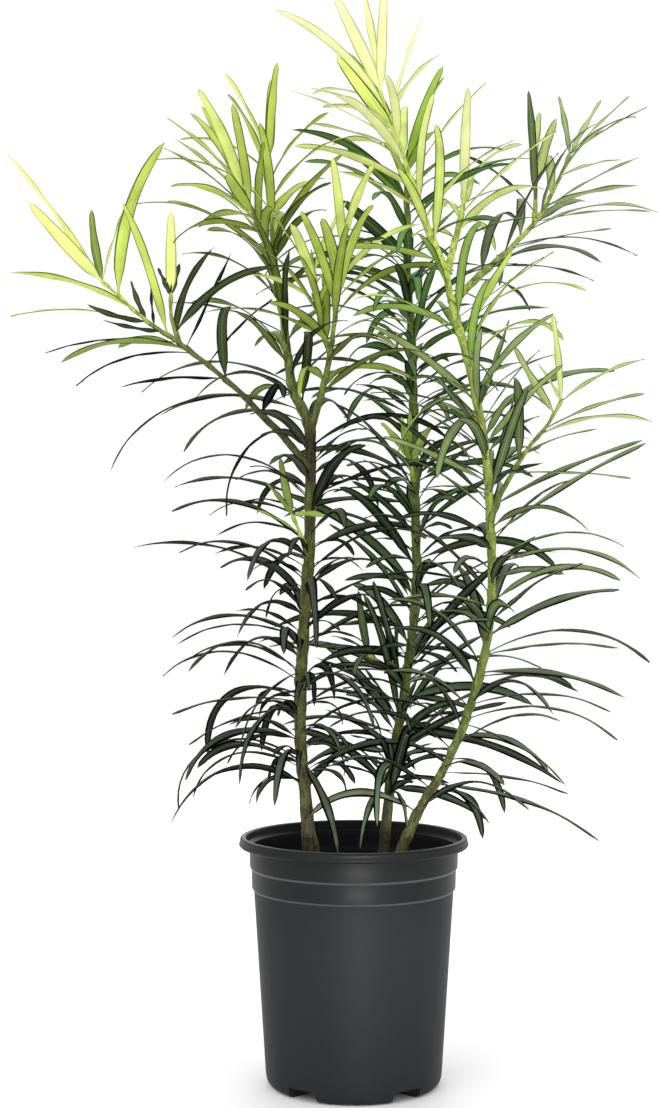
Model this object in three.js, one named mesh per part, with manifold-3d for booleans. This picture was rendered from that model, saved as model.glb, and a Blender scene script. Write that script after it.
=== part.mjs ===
// A podocarpus (long-leaved yellowwood) with three main stems, growing in a ribbed round
// nursery pot. Millimetres, +Z up, +X to the right of the plant's show side, which faces -Y.
// The origin is the middle of the pot's flat underside.
//
// The stems stand whole from the soil to their tips. Leaves grow in a spiral straight on
// green stems, so each mass of foliage is a thin sleeve of young bark round a length of a
// stem, or a leafy shoot that carries on from a bough, with the leaves fused to it.

import * as THREE from 'three';
import { mergeVertices } from 'three/addons/utils/BufferGeometryUtils.js';
import Module from 'manifold-3d';

const wasm = await Module();
wasm.setup();

// ---------- driving dimensions ----------

const GAP = 0.3;                      // clearance left between two pieces that touch
const SMALLEST = 1e-9;
const SHORTEST_EDGE = 0.06;           // shorter edges are drawn together
const LEAST_HEIGHT = 0.012;           // a triangle flatter than this is turned into its neighbour

const POT = {
  rimHeight: 177,
  wall: 1.3,                          // thickness of the housings over the foot's notches
  floor: 1.8,
  floorRadius: 56,
  brim: 82.5,                         // the widest radius, at the rim
  facets: 28,
  // [radius, height] up the outside, from the foot ring to the top of the rolled rim
  outside: [
    [57, 0], [60.8, 1.2], [62.6, 4], [63.2, 8], [71.6, 138.9], [73, 139.9], [73.4, 154],
    [74.5, 155], [74.9, 169.6], [81.4, 169.6], [82.5, 171.2], [81.6, 173.6], [81.5, 175.8],
    [79.4, 177], [77.4, 176],
  ],
  // [radius, height] down the inside, from the rim's inner edge to the floor
  inside: [[77, 170.9], [73.4, 169.9], [72.9, 157.4], [71.9, 156], [61.6, 9], [58.6, 3.4]],
};
// Notches in the foot, each with a drain hole in its roof.
const FOOT = {
  count: 5, first: -54, halfAngle: 10.5, inner: 38, outer: 73, height: 8, under: 2,
  hole: 4.5, holeAt: 49, holeSides: 8,
};
const SOIL_LEVEL = 150;
const SLAB_WIDTH = 400;               // of a slab to cut with, wider than any piece it cuts

const BARK = 1.2;                     // thickness of the leaf-bearing sleeve round a stem
const SLEEVE = GAP + BARK;            // from the wood out to the sleeve's outside
const SLEEVE_BREAK = 1.5;             // from one sleeve's end to the next one's start
const STEM_SIDES = 6;
const SHOOT_SIDES = 4;
const STATION = 24;                   // spacing of the rings along a stem or shoot
const LINE_SAMPLES = 24;              // samples of a middle line between two of its points

// Main stems and boughs, each by the points that its middle line passes and its radius at
// even steps from foot to tip. A bough starts inside its stem and is cut clear of it.
const LIMBS = {
  trunk_left: {
    through: [[-31, -10, 150.3], [-34, -10, 200], [-38, -9, 245], [-37, -8, 305], [-32, -7, 379],
      [-31, -6, 430], [-33, -4, 474], [-43, -3, 495], [-47, -2, 518], [-50, 0, 546]],
    radii: [4.3, 2.8, 2.8, 2.7, 2.6, 2.4, 2.1],
    root: { through: [[-23, -13, 150.3], [-26, -12, 168], [-32, -10, 194]], radii: [2.2, 1.8, 1.5] },
  },
  trunk_middle: {
    through: [[21, 15, 150.3], [26, 17, 203], [33, 20, 253], [40, 22, 297], [46, 24, 350],
      [45, 25, 427], [44, 25, 488], [42, 24, 549], [39.5, 21, 578], [40, 19, 608]],
    radii: [3.6, 2.4, 2.4, 2.3, 2.3, 2.2, 1.9],
    root: { through: [[14, 20, 150.3], [19, 18, 160], [23, 16, 178]], radii: [2.1, 1.8, 1.5] },
  },
  trunk_right: {
    through: [[26.5, -12, 150.3], [44, -14, 192], [69, -16, 237], [86, -18, 283], [96, -20, 330],
      [97, -20, 388], [92.5, -20, 455], [81, -18, 514], [68.5, -14, 562], [65, -13, 582],
      [58, -12, 598]],
    radii: [4, 2.4, 2.4, 2.4, 2.3, 2.2, 2],
    root: { through: [[33, -17, 150.3], [35, -15, 161], [40, -14, 182]], radii: [2.1, 1.8, 1.5] },
  },
  left_bough: {
    from: 'trunk_left',
    through: [[-32, -5.5, 440], [-43, -9, 454], [-52, -12, 465]],
    radii: [2.3, 2.2, 2.1],
  },
  left_inner_bough: {
    from: 'trunk_left',
    through: [[-32, -4.5, 466], [-28, -7, 477], [-24.5, -9.5, 488]],
    radii: [2.2, 2.1, 2],
  },
  right_side_bough: {
    from: 'trunk_right',
    through: [[96, -20, 402], [99, -22, 411], [103, -24.5, 421]],
    radii: [1.6, 1.5, 1.4],
  },
  right_outer_bough: {
    from: 'trunk_right',
    through: [[69.5, -14.5, 557], [76, -11, 564], [84, -6, 572.5]],
    radii: [2.4, 2.3, 2.2],
  },
  right_inner_bough: {
    from: 'trunk_right',
    through: [[65.3, -13, 580], [68.5, -10.5, 588], [71, -8, 597]],
    radii: [2.1, 2, 1.9],
  },
};

// Foliage. A mass either sleeves a stem between two heights (on, span), or carries on from a
// limb's tip through its own points as a leafy shoot with side twigs. Age runs from 0, an old
// leaf, to 1, one just opened. A mass may have a step, droop, lift and spread of its own, in place
// of the ones in LEAF and SPREAD. A sprout is a short new shoot at a height on a sleeve. The
// chosen leaves stand at a height on a mass's main shoot, and a fan is the leaves at a shoot's
// tip, each set by itself. Headings are degrees round from +X.
const MASSES = [
  {
    name: 'left_low_leaves', on: 'trunk_left', span: [206, 302], age: [0, 0.08], seed: 11, step: 6,
    droop: 102, spread: { roll: 40 },
    chosen: [
      { height: 296, heading: 192, rise: 40, droop: 78, roll: 12, length: 84, width: 6.5 },
      { height: 289, heading: 178, rise: 38, droop: 85, roll: 8, length: 106, width: 6.5 },
      { height: 274, heading: 186, rise: 10, droop: 36, roll: 5, length: 90, width: 6 },
      { height: 267, heading: 200, rise: 0, droop: 38, roll: 10, length: 84, width: 6 },
      { height: 292, heading: 226, rise: -12, droop: 62, roll: 25, length: 76, width: 8 },
      { height: 232, heading: 184, rise: 36, droop: 138, roll: 0, length: 120, width: 6.5 },
      { height: 226, heading: 172, rise: 30, droop: 112, roll: 0, length: 96, width: 6.5 },
      { height: 228, heading: 300, rise: -28, droop: 52, roll: 0, length: 78, width: 7.5 },
    ],
  },
  {
    name: 'left_middle_leaves', on: 'trunk_left', span: [302, 400], age: [0.08, 0.16], seed: 12,
    step: 5.2,
    sprout: {
      height: 384, heading: 215,
      fan: [
        { heading: 196, rise: 74, droop: -8, roll: 72, length: 42, width: 8 },
        { heading: 176, rise: 56, droop: 10, roll: 60, length: 30, width: 6 },
        { heading: 345, rise: 12, droop: 34, roll: 40, length: 26, width: 7 },
      ],
    },
    chosen: [
      { height: 320, heading: 180, rise: 22, droop: 60, roll: 10, length: 92, width: 6 },
      { height: 353, heading: 183, rise: 36, droop: 52, roll: 5, length: 128, width: 6 },
      { height: 368, heading: 174, rise: 35, droop: 62, roll: 10, length: 68, width: 6 },
    ],
  },
  {
    name: 'left_high_leaves', on: 'trunk_left', span: [400, 480], age: [0.2, 0.3], seed: 13,
    chosen: [
      { height: 420, heading: 188, rise: 46, droop: 96, roll: 8, length: 116, width: 7 },
    ],
  },
  {
    name: 'left_crown_leaves', on: 'trunk_left', span: [480, 546], age: [0.35, 0.5], seed: 14,
  },
  {
    name: 'middle_low_leaves', on: 'trunk_middle', span: [200, 320], age: [0, 0.08], seed: 25,
    droop: 46, spread: { rise: 32, roll: 60, droop: 24 },
    sprout: {
      height: 284, heading: 214, length: 38, rise: 35, age: [0.2, 0.3],
      fan: [
        { heading: 195, rise: 78, droop: -6, roll: 60, length: 46, width: 8 },
        { heading: 180, rise: 25, droop: 40, roll: 30, length: 38, width: 7 },
        { heading: 330, rise: 30, droop: 50, roll: -30, length: 40, width: 7 },
        { heading: 250, rise: 5, droop: 60, roll: 0, length: 36, width: 7 },
      ],
    },
    chosen: [
      { height: 224, heading: 235, rise: -30, droop: 55, roll: 10, length: 70, width: 7.5 },
    ],
  },
  {
    name: 'middle_middle_leaves', on: 'trunk_middle', span: [320, 446], age: [0.08, 0.2], seed: 22,
    droop: 52, spread: { rise: 26, roll: 56, droop: 24 },
    sprout: { height: 432, heading: 250 },
  },
  {
    name: 'middle_high_leaves', on: 'trunk_middle', span: [446, 608], age: [0.2, 0.4], seed: 26,
    chosen: [
      { height: 596, heading: 188, rise: 42, droop: 4, roll: 62, length: 60, width: 12 },
    ],
  },
  {
    name: 'right_low_leaves', on: 'trunk_right', span: [192, 300], age: [0, 0.1], seed: 31, step: 6.5,
    droop: 62, spread: { rise: 18, roll: 46 },
    chosen: [
      { height: 292, heading: 352, rise: 10, droop: 44, roll: -10, length: 70, width: 7 },
      { height: 272, heading: 4, rise: 16, droop: 46, roll: 0, length: 100, width: 7 },
      { height: 256, heading: 350, rise: -14, droop: 40, roll: 8, length: 84, width: 7.5 },
      { height: 222, heading: 356, rise: 2, droop: 26, roll: 0, length: 88, width: 7 },
    ],
  },
  {
    name: 'right_middle_leaves', on: 'trunk_right', span: [300, 406], age: [0.1, 0.2], seed: 32,
    step: 5, droop: 50, lift: 32, spread: { rise: 18, roll: 46 },
    chosen: [
      { height: 392, heading: 356, rise: 38, droop: 16, roll: 20, length: 124, width: 8 },
      { height: 374, heading: 8, rise: 34, droop: 66, roll: 5, length: 100, width: 7 },
      { height: 309, heading: 3, rise: 28, droop: 74, roll: 0, length: 124, width: 8 },
    ],
  },
  {
    name: 'right_high_leaves', on: 'trunk_right', span: [406, 504], age: [0.25, 0.4], seed: 33,
    droop: 38,
    chosen: [
      { height: 412, heading: 32, rise: 29, droop: 14, sweep: -50, roll: 15, length: 122, width: 8 },
      { height: 433, heading: 14, rise: 5, droop: 14, roll: 0, length: 106, width: 6.5 },
      { height: 432, heading: 30, rise: 74, droop: 6, roll: -50, length: 60, width: 10 },
      { height: 486, heading: 8, rise: 48, droop: 40, roll: 0, length: 68, width: 6 },
      { height: 494, heading: 208, rise: -8, droop: 72, roll: 30, length: 84, width: 10 },
      { height: 480, heading: 236, rise: -15, droop: 62, roll: -20, length: 78, width: 10 },
    ],
  },
  {
    name: 'right_crown_leaves', on: 'trunk_right', span: [504, 597], age: [0.45, 0.6], seed: 39,
    chosen: [
      { height: 532, heading: 354, rise: 10, droop: 4, roll: 0, length: 66, width: 5 },
      { height: 534, heading: 12, rise: 62, droop: 6, roll: -50, length: 70, width: 10 },
      { height: 547, heading: 342, rise: 33, droop: 2, roll: 15, length: 80, width: 7 },
    ],
  },
  {
    name: 'left_bough_leaves', tip: 'left_bough', age: [0.05, 1], seed: 15, step: 17,
    through: [[-66, -16, 478], [-79, -20, 492], [-98, -26, 508], [-120, -32, 525], [-145, -38, 542],
      [-176, -45, 569]],
    chosen: [
      { height: 527, heading: 186, rise: 8, droop: 30, roll: 0, length: 94, width: 5.5, age: 0.05 },
      { height: 520, heading: 192, rise: 5, droop: 50, roll: 0, length: 88, width: 5.5, age: 0 },
      { height: 502, heading: 188, rise: 6, droop: 26, roll: 5, length: 74, width: 6, age: 0 },
      { height: 541, heading: 190, rise: 6, droop: -20, roll: 30, length: 44, width: 6, age: 0.35 },
      { height: 534, heading: 194, rise: 6, droop: -8, roll: 30, length: 42, width: 6, age: 0.3 },
      { height: 550, heading: 178, rise: 26, droop: 4, roll: 0, length: 54, width: 5.5, age: 1 },
      { height: 542, heading: 176, rise: 64, droop: -10, roll: 60, length: 30, width: 6, age: 0.4 },
      { height: 538, heading: 150, rise: 82, droop: -4, roll: 60, length: 30, width: 6, age: 0.4 },
      { height: 529, heading: 350, rise: 86, droop: 46, roll: -50, length: 72, width: 7, age: 0.3 },
      { height: 523, heading: 20, rise: 66, droop: 4, roll: 0, length: 76, width: 5.5, age: 0 },
      { height: 512, heading: 8, rise: 56, droop: 24, roll: 10, length: 66, width: 6, age: 0 },
      { height: 558, heading: 352, rise: 90, droop: 40, roll: -62, length: 114, width: 12, age: 0.75 },
    ],
    fan: [
      { heading: 184, rise: 56, droop: 6, roll: 40, length: 108, width: 7 },
      { heading: 202, rise: 43, droop: -4, roll: 66, length: 72, width: 12 },
      { heading: 200, rise: 76, droop: -12, roll: 66, length: 50, width: 8, age: 0.75 },
      { heading: 40, rise: 74, droop: 6, roll: -50, length: 52, width: 6 },
    ],
    twigs: [
      {
        age: [0.3, 0.4],
        through: [[-123, -33, 527], [-128, -37, 545], [-128, -40, 560]],
        fan: [
          { heading: 275, rise: 85, droop: -2, roll: 0, length: 58, width: 10, age: 1 },
          { heading: 165, rise: 66, droop: 4, roll: 60, length: 22, width: 7 },
          { heading: 20, rise: 76, droop: 4, roll: -60, length: 24, width: 7 },
        ],
      },
    ],
  },
  {
    name: 'left_leader_leaves', tip: 'trunk_left', age: [0.5, 1], seed: 16,
    through: [[-54, 1, 568], [-57, 3, 592], [-60, 6, 630], [-61, 8, 668]],
    twigs: [
      {
        
        through: [[-56, 2, 582], [-66, -6, 607], [-74, -12, 627], [-82, -16, 644]],
      },
    ],
  },
  {
    name: 'left_inner_leaves', tip: 'left_inner_bough', age: [0.4, 1], seed: 17,
    through: [[-21.5, -12, 500], [-17.5, -16, 518], [-14, -19, 543], [-10, -22, 573], [-7, -24, 600]],
    twigs: [
      {
        
        through: [[-17, -17, 520], [-24, -23, 543], [-28, -26, 573], [-30, -28, 592]],
      },
    ],
  },
  {
    name: 'middle_top_leaves', tip: 'trunk_middle', age: [0.35, 0.75], seed: 24,
    through: [[39, 18, 632], [38.5, 18, 655], [39, 17, 672]],
    chosen: [
      { height: 638, heading: 184, rise: 44, droop: 6, roll: 62, length: 64, width: 12 },
    ],
  },
  {
    name: 'right_leader_leaves', tip: 'trunk_right', age: [0.6, 1], seed: 35, step: 6,
    through: [[51, -10, 615], [43, -7, 641], [34, -4, 668], [25, -2, 692], [19, 0, 712]],
    chosen: [
      { height: 690, heading: 186, rise: 62, droop: 44, roll: 50, length: 116, width: 9 },
      { height: 682, heading: 196, rise: 50, droop: 0, roll: 64, length: 66, width: 12, age: 0.7 },
      { height: 672, heading: 176, rise: 36, droop: 20, roll: 0, length: 88, width: 5 },
      { height: 690, heading: 12, rise: 76, droop: 8, roll: 20, length: 80, width: 5 },
    ],
    fan: [
      { heading: 184, rise: 66, droop: 4, roll: 66, length: 76, width: 12 },
      { heading: 150, rise: 80, droop: 2, roll: 60, length: 78, width: 11 },
      { heading: 290, rise: 86, droop: 4, roll: 0, length: 74, width: 10 },
    ],
  },
  {
    name: 'right_inner_leaves', tip: 'right_inner_bough', age: [0.6, 1], seed: 36,
    through: [[76, -1, 617], [80, 5, 636], [82, 9, 655]],
  },
  {
    name: 'right_outer_leaves', tip: 'right_outer_bough', age: [0.35, 0.9], seed: 37, step: 9,
    through: [[92, -1, 580], [112, 12, 599], [128, 22, 616], [138, 28, 629], [150, 35, 652],
      [161, 42, 676]],
    chosen: [
      { height: 632, heading: 355, rise: 34, droop: 14, roll: 10, length: 78, width: 6.5 },
      { height: 622, heading: 340, rise: 10, droop: 20, roll: 0, length: 86, width: 5.5 },
      { height: 600, heading: 345, rise: 14, droop: 12, roll: 0, length: 74, width: 5.5 },
      { height: 585, heading: 352, rise: 6, droop: 34, roll: 0, length: 76, width: 5.5 },
    ],
    fan: [
      { heading: 20, rise: 60, droop: 4, roll: 30, length: 50, width: 7 },
      { heading: 350, rise: 46, droop: 6, roll: 20, length: 60, width: 7 },
      { heading: 170, rise: 82, droop: 6, roll: -50, length: 44, width: 7 },
      { heading: 330, rise: 30, droop: 12, roll: 10, length: 66, width: 7 },
    ],
    twigs: [
      {
        
        through: [[133, 25, 622], [134, 32, 648], [132, 36, 668]],
      },
    ],
  },
  {
    name: 'right_side_leaves', tip: 'right_side_bough', age: [0.4, 0.95], seed: 38, step: 24, droop: 34,
    through: [[112, -29, 437], [123, -35, 455], [136, -40, 471], [144, -44, 486]],
    chosen: [
      { height: 466, heading: 5, rise: 28, droop: 20, roll: 10, length: 76, width: 7 },
      { height: 476, heading: 172, rise: 56, droop: -8, roll: 55, length: 56, width: 9 },
    ],
    fan: [
      { heading: 160, rise: 86, droop: 4, roll: 60, length: 62, width: 8 },
      { heading: 8, rise: 38, droop: 26, roll: 15, length: 68, width: 7 },
      { heading: 150, rise: 60, droop: 6, roll: 50, length: 32, width: 6 },
    ],
  },
];

const LEAF = {
  turn: 137.5,                        // degrees round the stem from one leaf to the next
  step: 4.4,                          // along a stem from one leaf to the next
  shootStep: 5.2,                     // and along a shoot
  endMargin: 3,                       // bare length at each end of a sleeve
  angle: [62, 26],                    // from the stem, on an old leaf and on a new one
  droop: [84, 32],                    // how far its line turns down from root to tip
  droopPower: 1.3,                    // 1 would turn it down evenly, more turns its tip
  length: [112, 88],
  width: [7.8, 9.6],
  lift: 38,                           // the rise that leaves turn towards, to meet the light
  liftShare: 0.3,
  steps: 18,                          // straight pieces that a leaf's line is worked out in
  tries: 12,
  shrink: 0.04,                       // a try's length under the one before it
  opening: 0.8,                       // a leaf younger than this isn't full length yet
  openingShrink: 0.2,
  thickness: 1.3,
  sink: 0.9,                          // how deep a leaf's root goes in a sleeve
  behind: 0.8,                        // share of a shoot's radius that a root starts behind
};
// How far a leaf may differ to either side: degrees, then shares.
const SPREAD = {
  place: 1.3, turn: 12, turnMore: 7, angle: 9, rise: 12, droop: 28, sweep: 22, roll: 32,
  length: 0.18, width: 0.14,
};
// A leaf's root is this share of its width to each side, and this deep. Its other rings are
// [step along its line, share of half its width, share of its thickness], and past the last
// one it comes to a point.
const LEAF_ROOT = { half: 0.18, depth: 1.9 };
const ARCHED_RINGS = [[5, 0.98, 1], [12, 0.86, 0.9]];
const STRAIGHT_RINGS = [[8, 1, 1]];
const ARCHED_FROM = 74;               // a leaf that droops by more than this is an arched one
// The leaves that stand close together round a shoot's tip, the shortest in the middle.
const TUFT = {
  leaves: 4, end: 0.5, step: 3.5, turnSpread: 30, angle: [8, 28], droop: 14, rollSpread: 80,
  length: [62, 94], lengthSpread: [0.85, 1.1], width: 10, widthSpread: [0.8, 1.2],
};
const TIP_MARGIN = 1;                 // from a shoot's tip down to where its fan stands
const SPROUT = { length: 24, radius: 1.2, rise: 62, sink: 2, age: [0.9, 1], leafScale: 0.48 };
const SHOOT = {
  tipRadius: 1,
  bare: 3,                            // leafless length at a main shoot's foot
  twigBare: 8,                        // and at a side twig's
  twigShare: 0.4,                     // how far along the shoot's taper and age a twig starts
  turnPerSeed: 40,
  turnPerTwig: 90,
};
// Room that a leaf keeps from what grew before it. The first part of a leaf, near its root, is
// free to touch its own stem. Inside the mouth a leaf may dip towards the soil.
const ROOM = {
  otherMass: 7.5, nearRoots: 5, sameMass: 5, freeRoot: 18, limb: 5, ownStem: 2, pot: 5,
  mouth: 61.6, lineStep: 4, cell: 14,
};
const REACH = { sideways: 128, above: 110, below: 120 };
const CROWN = { low: [-250, -150, 154], high: [217, 150, 792] };

// ---------- small maths ----------

const lerp = (a, b, t) => a + (b - a) * t;
const radians = (degrees) => degrees * Math.PI / 180;
const degrees = (angle) => angle * 180 / Math.PI;
const vector = (p) => new THREE.Vector3(...p);

// A seeded stream of numbers from 0 to 1.
function random(seed) {
  let state = seed >>> 0;
  return () => {
    state = (state + 0x6d2b79f5) >>> 0;
    let t = state;
    t = Math.imul(t ^ (t >>> 15), t | 1);
    t ^= t + Math.imul(t ^ (t >>> 7), t | 61);
    return ((t ^ (t >>> 14)) >>> 0) / 4294967296;
  };
}

// A value that a list gives at even steps, at share t of the way along it.
function along(list, t) {
  const place = Math.min(Math.max(t, 0), 1) * (list.length - 1);
  const i = Math.min(Math.floor(place), list.length - 2);
  return lerp(list[i], list[i + 1], place - i);
}

// The middle line of a limb: a smooth curve through its points, with the length up to each
// of its samples.
function makeLine(through) {
  const curve = new THREE.CatmullRomCurve3(through.map(vector));
  const samples = LINE_SAMPLES * (through.length - 1);
  const points = curve.getPoints(samples);
  const lengths = [0];
  for (let i = 1; i < points.length; i += 1) {
    lengths.push(lengths[i - 1] + points[i].distanceTo(points[i - 1]));
  }
  return { points, lengths, total: lengths[samples] };
}

// Place, direction and two sideways directions at a distance along a line.
function stand(line, distance) {
  let i = 1;
  while (i < line.points.length - 1 && line.lengths[i] < distance) i += 1;
  const span = line.lengths[i] - line.lengths[i - 1];
  const share = (distance - line.lengths[i - 1]) / Math.max(span, SMALLEST);
  const place = line.points[i - 1].clone().lerp(line.points[i], share);
  const ahead = line.points[i].clone().sub(line.points[i - 1]).normalize();
  const back = new THREE.Vector3(0, 1, 0);
  back.addScaledVector(ahead, -back.dot(ahead)).normalize();
  const right = back.clone().cross(ahead);
  return { place, ahead, back, right };
}

// How far along a rising line its height is first reached.
function distanceAt(line, height) {
  const i = line.points.findIndex((p) => p.z >= height);
  return i < 0 ? line.total : line.lengths[i];
}

function sideways(at, angle) {
  return at.right.clone().multiplyScalar(Math.cos(angle)).addScaledVector(at.back, Math.sin(angle));
}

// ---------- solids ----------

function toManifold(geometry) {
  const bare = geometry.clone();
  bare.deleteAttribute('normal');
  bare.deleteAttribute('uv');
  const merged = mergeVertices(bare, 1e-4);
  const vertProperties = new Float32Array(merged.attributes.position.array);
  const triVerts = new Uint32Array(merged.index.array);
  return new wasm.Manifold(new wasm.Mesh({ numProp: 3, vertProperties, triVerts }));
}

function toGeometry(solid) {
  const { vertProperties, triVerts } = solid.getMesh();
  const places = [];
  for (let i = 0; i < vertProperties.length; i += 3) {
    places.push(new THREE.Vector3().fromArray(vertProperties, i));
  }
  let triangles = [];
  for (let i = 0; i < triVerts.length; i += 3) triangles.push([...triVerts.subarray(i, i + 3)]);
  triangles = weldShortEdges(places, triangles);
  triangles = weldShortEdges(places, turnFlatTriangles(places, triangles));
  const geometry = new THREE.BufferGeometry();
  geometry.setAttribute('position', new THREE.Float32BufferAttribute(places.flatMap((p) => [...p]), 3));
  geometry.setIndex(triangles.flat());
  const tidy = mergeVertices(geometry, SMALLEST);
  tidy.computeVertexNormals();
  return tidy;
}

const edgesOf = ([a, b, c]) => [[a, b, c], [b, c, a], [c, a, b]];

// Leaves that graze a stem leave edges too short to mean anything. Their ends are drawn
// together, and a triangle that this empties goes, or both of two that it lays face to face.
function weldShortEdges(places, triangles) {
  const stands = places.map((_, i) => i);
  const find = (i) => (stands[i] === i ? i : find(stands[i]));
  let joined = true;
  while (joined) {
    joined = false;
    for (const [a, b] of triangles.flatMap(edgesOf)) {
      const [first, second] = [find(a), find(b)];
      if (first === second || places[first].distanceTo(places[second]) > SHORTEST_EDGE) continue;
      stands[second] = first;
      joined = true;
    }
  }
  const kept = new Map();
  for (const triangle of triangles.map((corners) => corners.map(find))) {
    const key = [...triangle].sort((a, b) => a - b).join();
    if (new Set(triangle).size < 3) continue;
    if (kept.has(key)) kept.delete(key);
    else kept.set(key, triangle);
  }
  return [...kept.values()];
}

// A triangle with hardly any height swaps its long side for the other diagonal of the two
// triangles that share it.
function turnFlatTriangles(places, triangles) {
  const length = (a, b) => places[a].distanceTo(places[b]);
  const height = ([a, b, c]) => {
    const base = places[b].clone().sub(places[a]);
    return base.clone().cross(places[c].clone().sub(places[a])).length() / base.length();
  };
  const owner = new Map();
  triangles.forEach((triangle, i) => {
    for (const [a, b] of edgesOf(triangle)) owner.set(`${a},${b}`, i);
  });
  for (let i = 0; i < triangles.length; i += 1) {
    const [a, b, c] = edgesOf(triangles[i]).sort((p, q) => length(q[0], q[1]) - length(p[0], p[1]))[0];
    if (height([a, b, c]) > LEAST_HEIGHT) continue;
    const other = owner.get(`${b},${a}`);
    const d = triangles[other].find((v) => v !== a && v !== b);
    if (d === c || owner.has(`${c},${d}`) || owner.has(`${d},${c}`)) continue;
    triangles[i] = [a, d, c];
    triangles[other] = [d, b, c];
    owner.delete(`${a},${b}`);
    owner.delete(`${b},${a}`);
    for (const [from, to] of edgesOf(triangles[i])) owner.set(`${from},${to}`, i);
    for (const [from, to] of edgesOf(triangles[other])) owner.set(`${from},${to}`, other);
  }
  return triangles;
}

// A closed skin over rings of points. A ring of one point makes an end that is pointed, and
// any other end is flat.
function loft(rings) {
  const positions = rings.flat().flatMap((p) => [p.x, p.y, p.z]);
  const index = [];
  const firsts = [0];
  rings.forEach((ring, k) => firsts.push(firsts[k] + ring.length));
  for (let k = 0; k + 1 < rings.length; k += 1) {
    const [low, high] = [rings[k].length, rings[k + 1].length];
    const sides = Math.max(low, high);
    for (let i = 0; i < sides; i += 1) {
      const next = (i + 1) % sides;
      const [a, b] = [firsts[k] + i % low, firsts[k] + next % low];
      const [c, d] = [firsts[k + 1] + i % high, firsts[k + 1] + next % high];
      if (low > 1) index.push(a, b, d);
      if (high > 1) index.push(a, d, c);
    }
  }
  const last = rings.length - 1;
  for (let i = 1; i + 1 < rings[0].length; i += 1) index.push(0, i + 1, i);
  for (let i = 1; i + 1 < rings[last].length; i += 1) {
    index.push(firsts[last], firsts[last] + i, firsts[last] + i + 1);
  }
  const geometry = new THREE.BufferGeometry();
  geometry.setAttribute('position', new THREE.Float32BufferAttribute(positions, 3));
  geometry.setIndex(index);
  return toManifold(geometry);
}

function ringAt(at, radius, sides) {
  const ring = [];
  for (let i = 0; i < sides; i += 1) {
    const angle = 2 * Math.PI * i / sides;
    ring.push(at.place.clone().addScaledVector(sideways(at, angle), radius));
  }
  return ring;
}

// A tapering tube along a line, with its rings at the given distances.
function tube(line, distances, radiusAt, sides, extra = 0) {
  return loft(distances.map((d) => ringAt(stand(line, d), radiusAt(d) + extra, sides)));
}

function evenSteps(from, to, step) {
  const count = Math.max(1, Math.round((to - from) / step));
  return Array.from({ length: count + 1 }, (_, i) => lerp(from, to, i / count));
}

// ---------- pot and soil ----------

function lathe(profile) {
  const points = profile.map(([radius, height]) => new THREE.Vector2(radius, height));
  return toManifold(new THREE.LatheGeometry(points, POT.facets).rotateX(Math.PI / 2));
}

// A broad level slab between two heights, to cut with.
function slab(low, high) {
  const box = new THREE.BoxGeometry(SLAB_WIDTH, SLAB_WIDTH, high - low);
  return toManifold(box.translate(0, 0, (low + high) / 2));
}

// A block under the pot's edge, a sector of a ring, standing on the floor.
function sector(heading, margin, height) {
  const side = radians(FOOT.halfAngle) + margin / FOOT.inner;
  const middle = radians(heading);
  const outline = new THREE.Shape();
  outline.absarc(0, 0, FOOT.inner - margin, middle - side, middle + side, false);
  outline.absarc(0, 0, FOOT.outer, middle + side, middle - side, true);
  const block = new THREE.ExtrudeGeometry(outline, {
    depth: height + FOOT.under, bevelEnabled: false, curveSegments: 2,
  });
  return toManifold(block.translate(0, 0, -FOOT.under));
}

function drainHole(heading) {
  const hole = new THREE.CylinderGeometry(FOOT.hole, FOOT.hole, 3 * POT.wall, FOOT.holeSides);
  hole.rotateX(Math.PI / 2);
  const x = FOOT.holeAt * Math.cos(radians(heading));
  const y = FOOT.holeAt * Math.sin(radians(heading));
  return toManifold(hole.translate(x, y, FOOT.height + POT.wall / 2));
}

const footHeadings = Array.from({ length: FOOT.count }, (_, i) => FOOT.first + 360 / FOOT.count * i);

function makePot() {
  const outside = [[0, 0], ...POT.outside];
  const topHeight = POT.outside.at(-1)[1];
  const filled = lathe([...outside, [0, topHeight]]);
  let pot = lathe([...outside, ...POT.inside, [POT.floorRadius, POT.floor], [0, POT.floor]]);
  for (const heading of footHeadings) {
    const housing = sector(heading, POT.wall, FOOT.height + POT.wall).intersect(filled);
    pot = pot.add(housing).subtract(sector(heading, 0, FOOT.height)).subtract(drainHole(heading));
  }
  return pot;
}

// The soil fills the pot up to its level, a gap clear of the wall, floor and notch housings.
function makeSoil() {
  const wall = POT.inside.map(([radius, height]) => [radius - GAP, height]).reverse();
  const floor = POT.floor + GAP;
  const top = wall.at(-1)[1];
  const filling = lathe([[0, floor], [POT.floorRadius - GAP, floor], ...wall, [0, top]]);
  let soil = filling.intersect(slab(0, SOIL_LEVEL));
  for (const heading of footHeadings) {
    soil = soil.subtract(sector(heading, POT.wall + GAP, FOOT.height + POT.wall + GAP));
  }
  return soil;
}

// ---------- stems and boughs ----------

function prepareLimb(spec) {
  const line = makeLine(spec.through);
  return {
    ...spec,
    line,
    stations: evenSteps(0, line.total, STATION),
    radiusAt: (d) => along(spec.radii, d / line.total),
  };
}

// The cut under a stem is level, at the top of the soil.
function levelFoot(solid) {
  return solid.subtract(slab(0, SOIL_LEVEL + GAP));
}

function limbSolid(limb, extra = 0) {
  return tube(limb.line, limb.stations, limb.radiusAt, STEM_SIDES, extra);
}

function makeTrunk(limb) {
  const root = makeLine(limb.root.through);
  const strand = tube(root, evenSteps(0, root.total, STATION),
    (d) => along(limb.root.radii, d / root.total), SHOOT_SIDES);
  return levelFoot(limbSolid(limb).add(strand));
}

// The main body of a cut solid, without loose scraps.
function mainBody(solid) {
  const [largest] = solid.decompose().sort((a, b) => b.volume() - a.volume());
  return largest;
}

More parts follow.
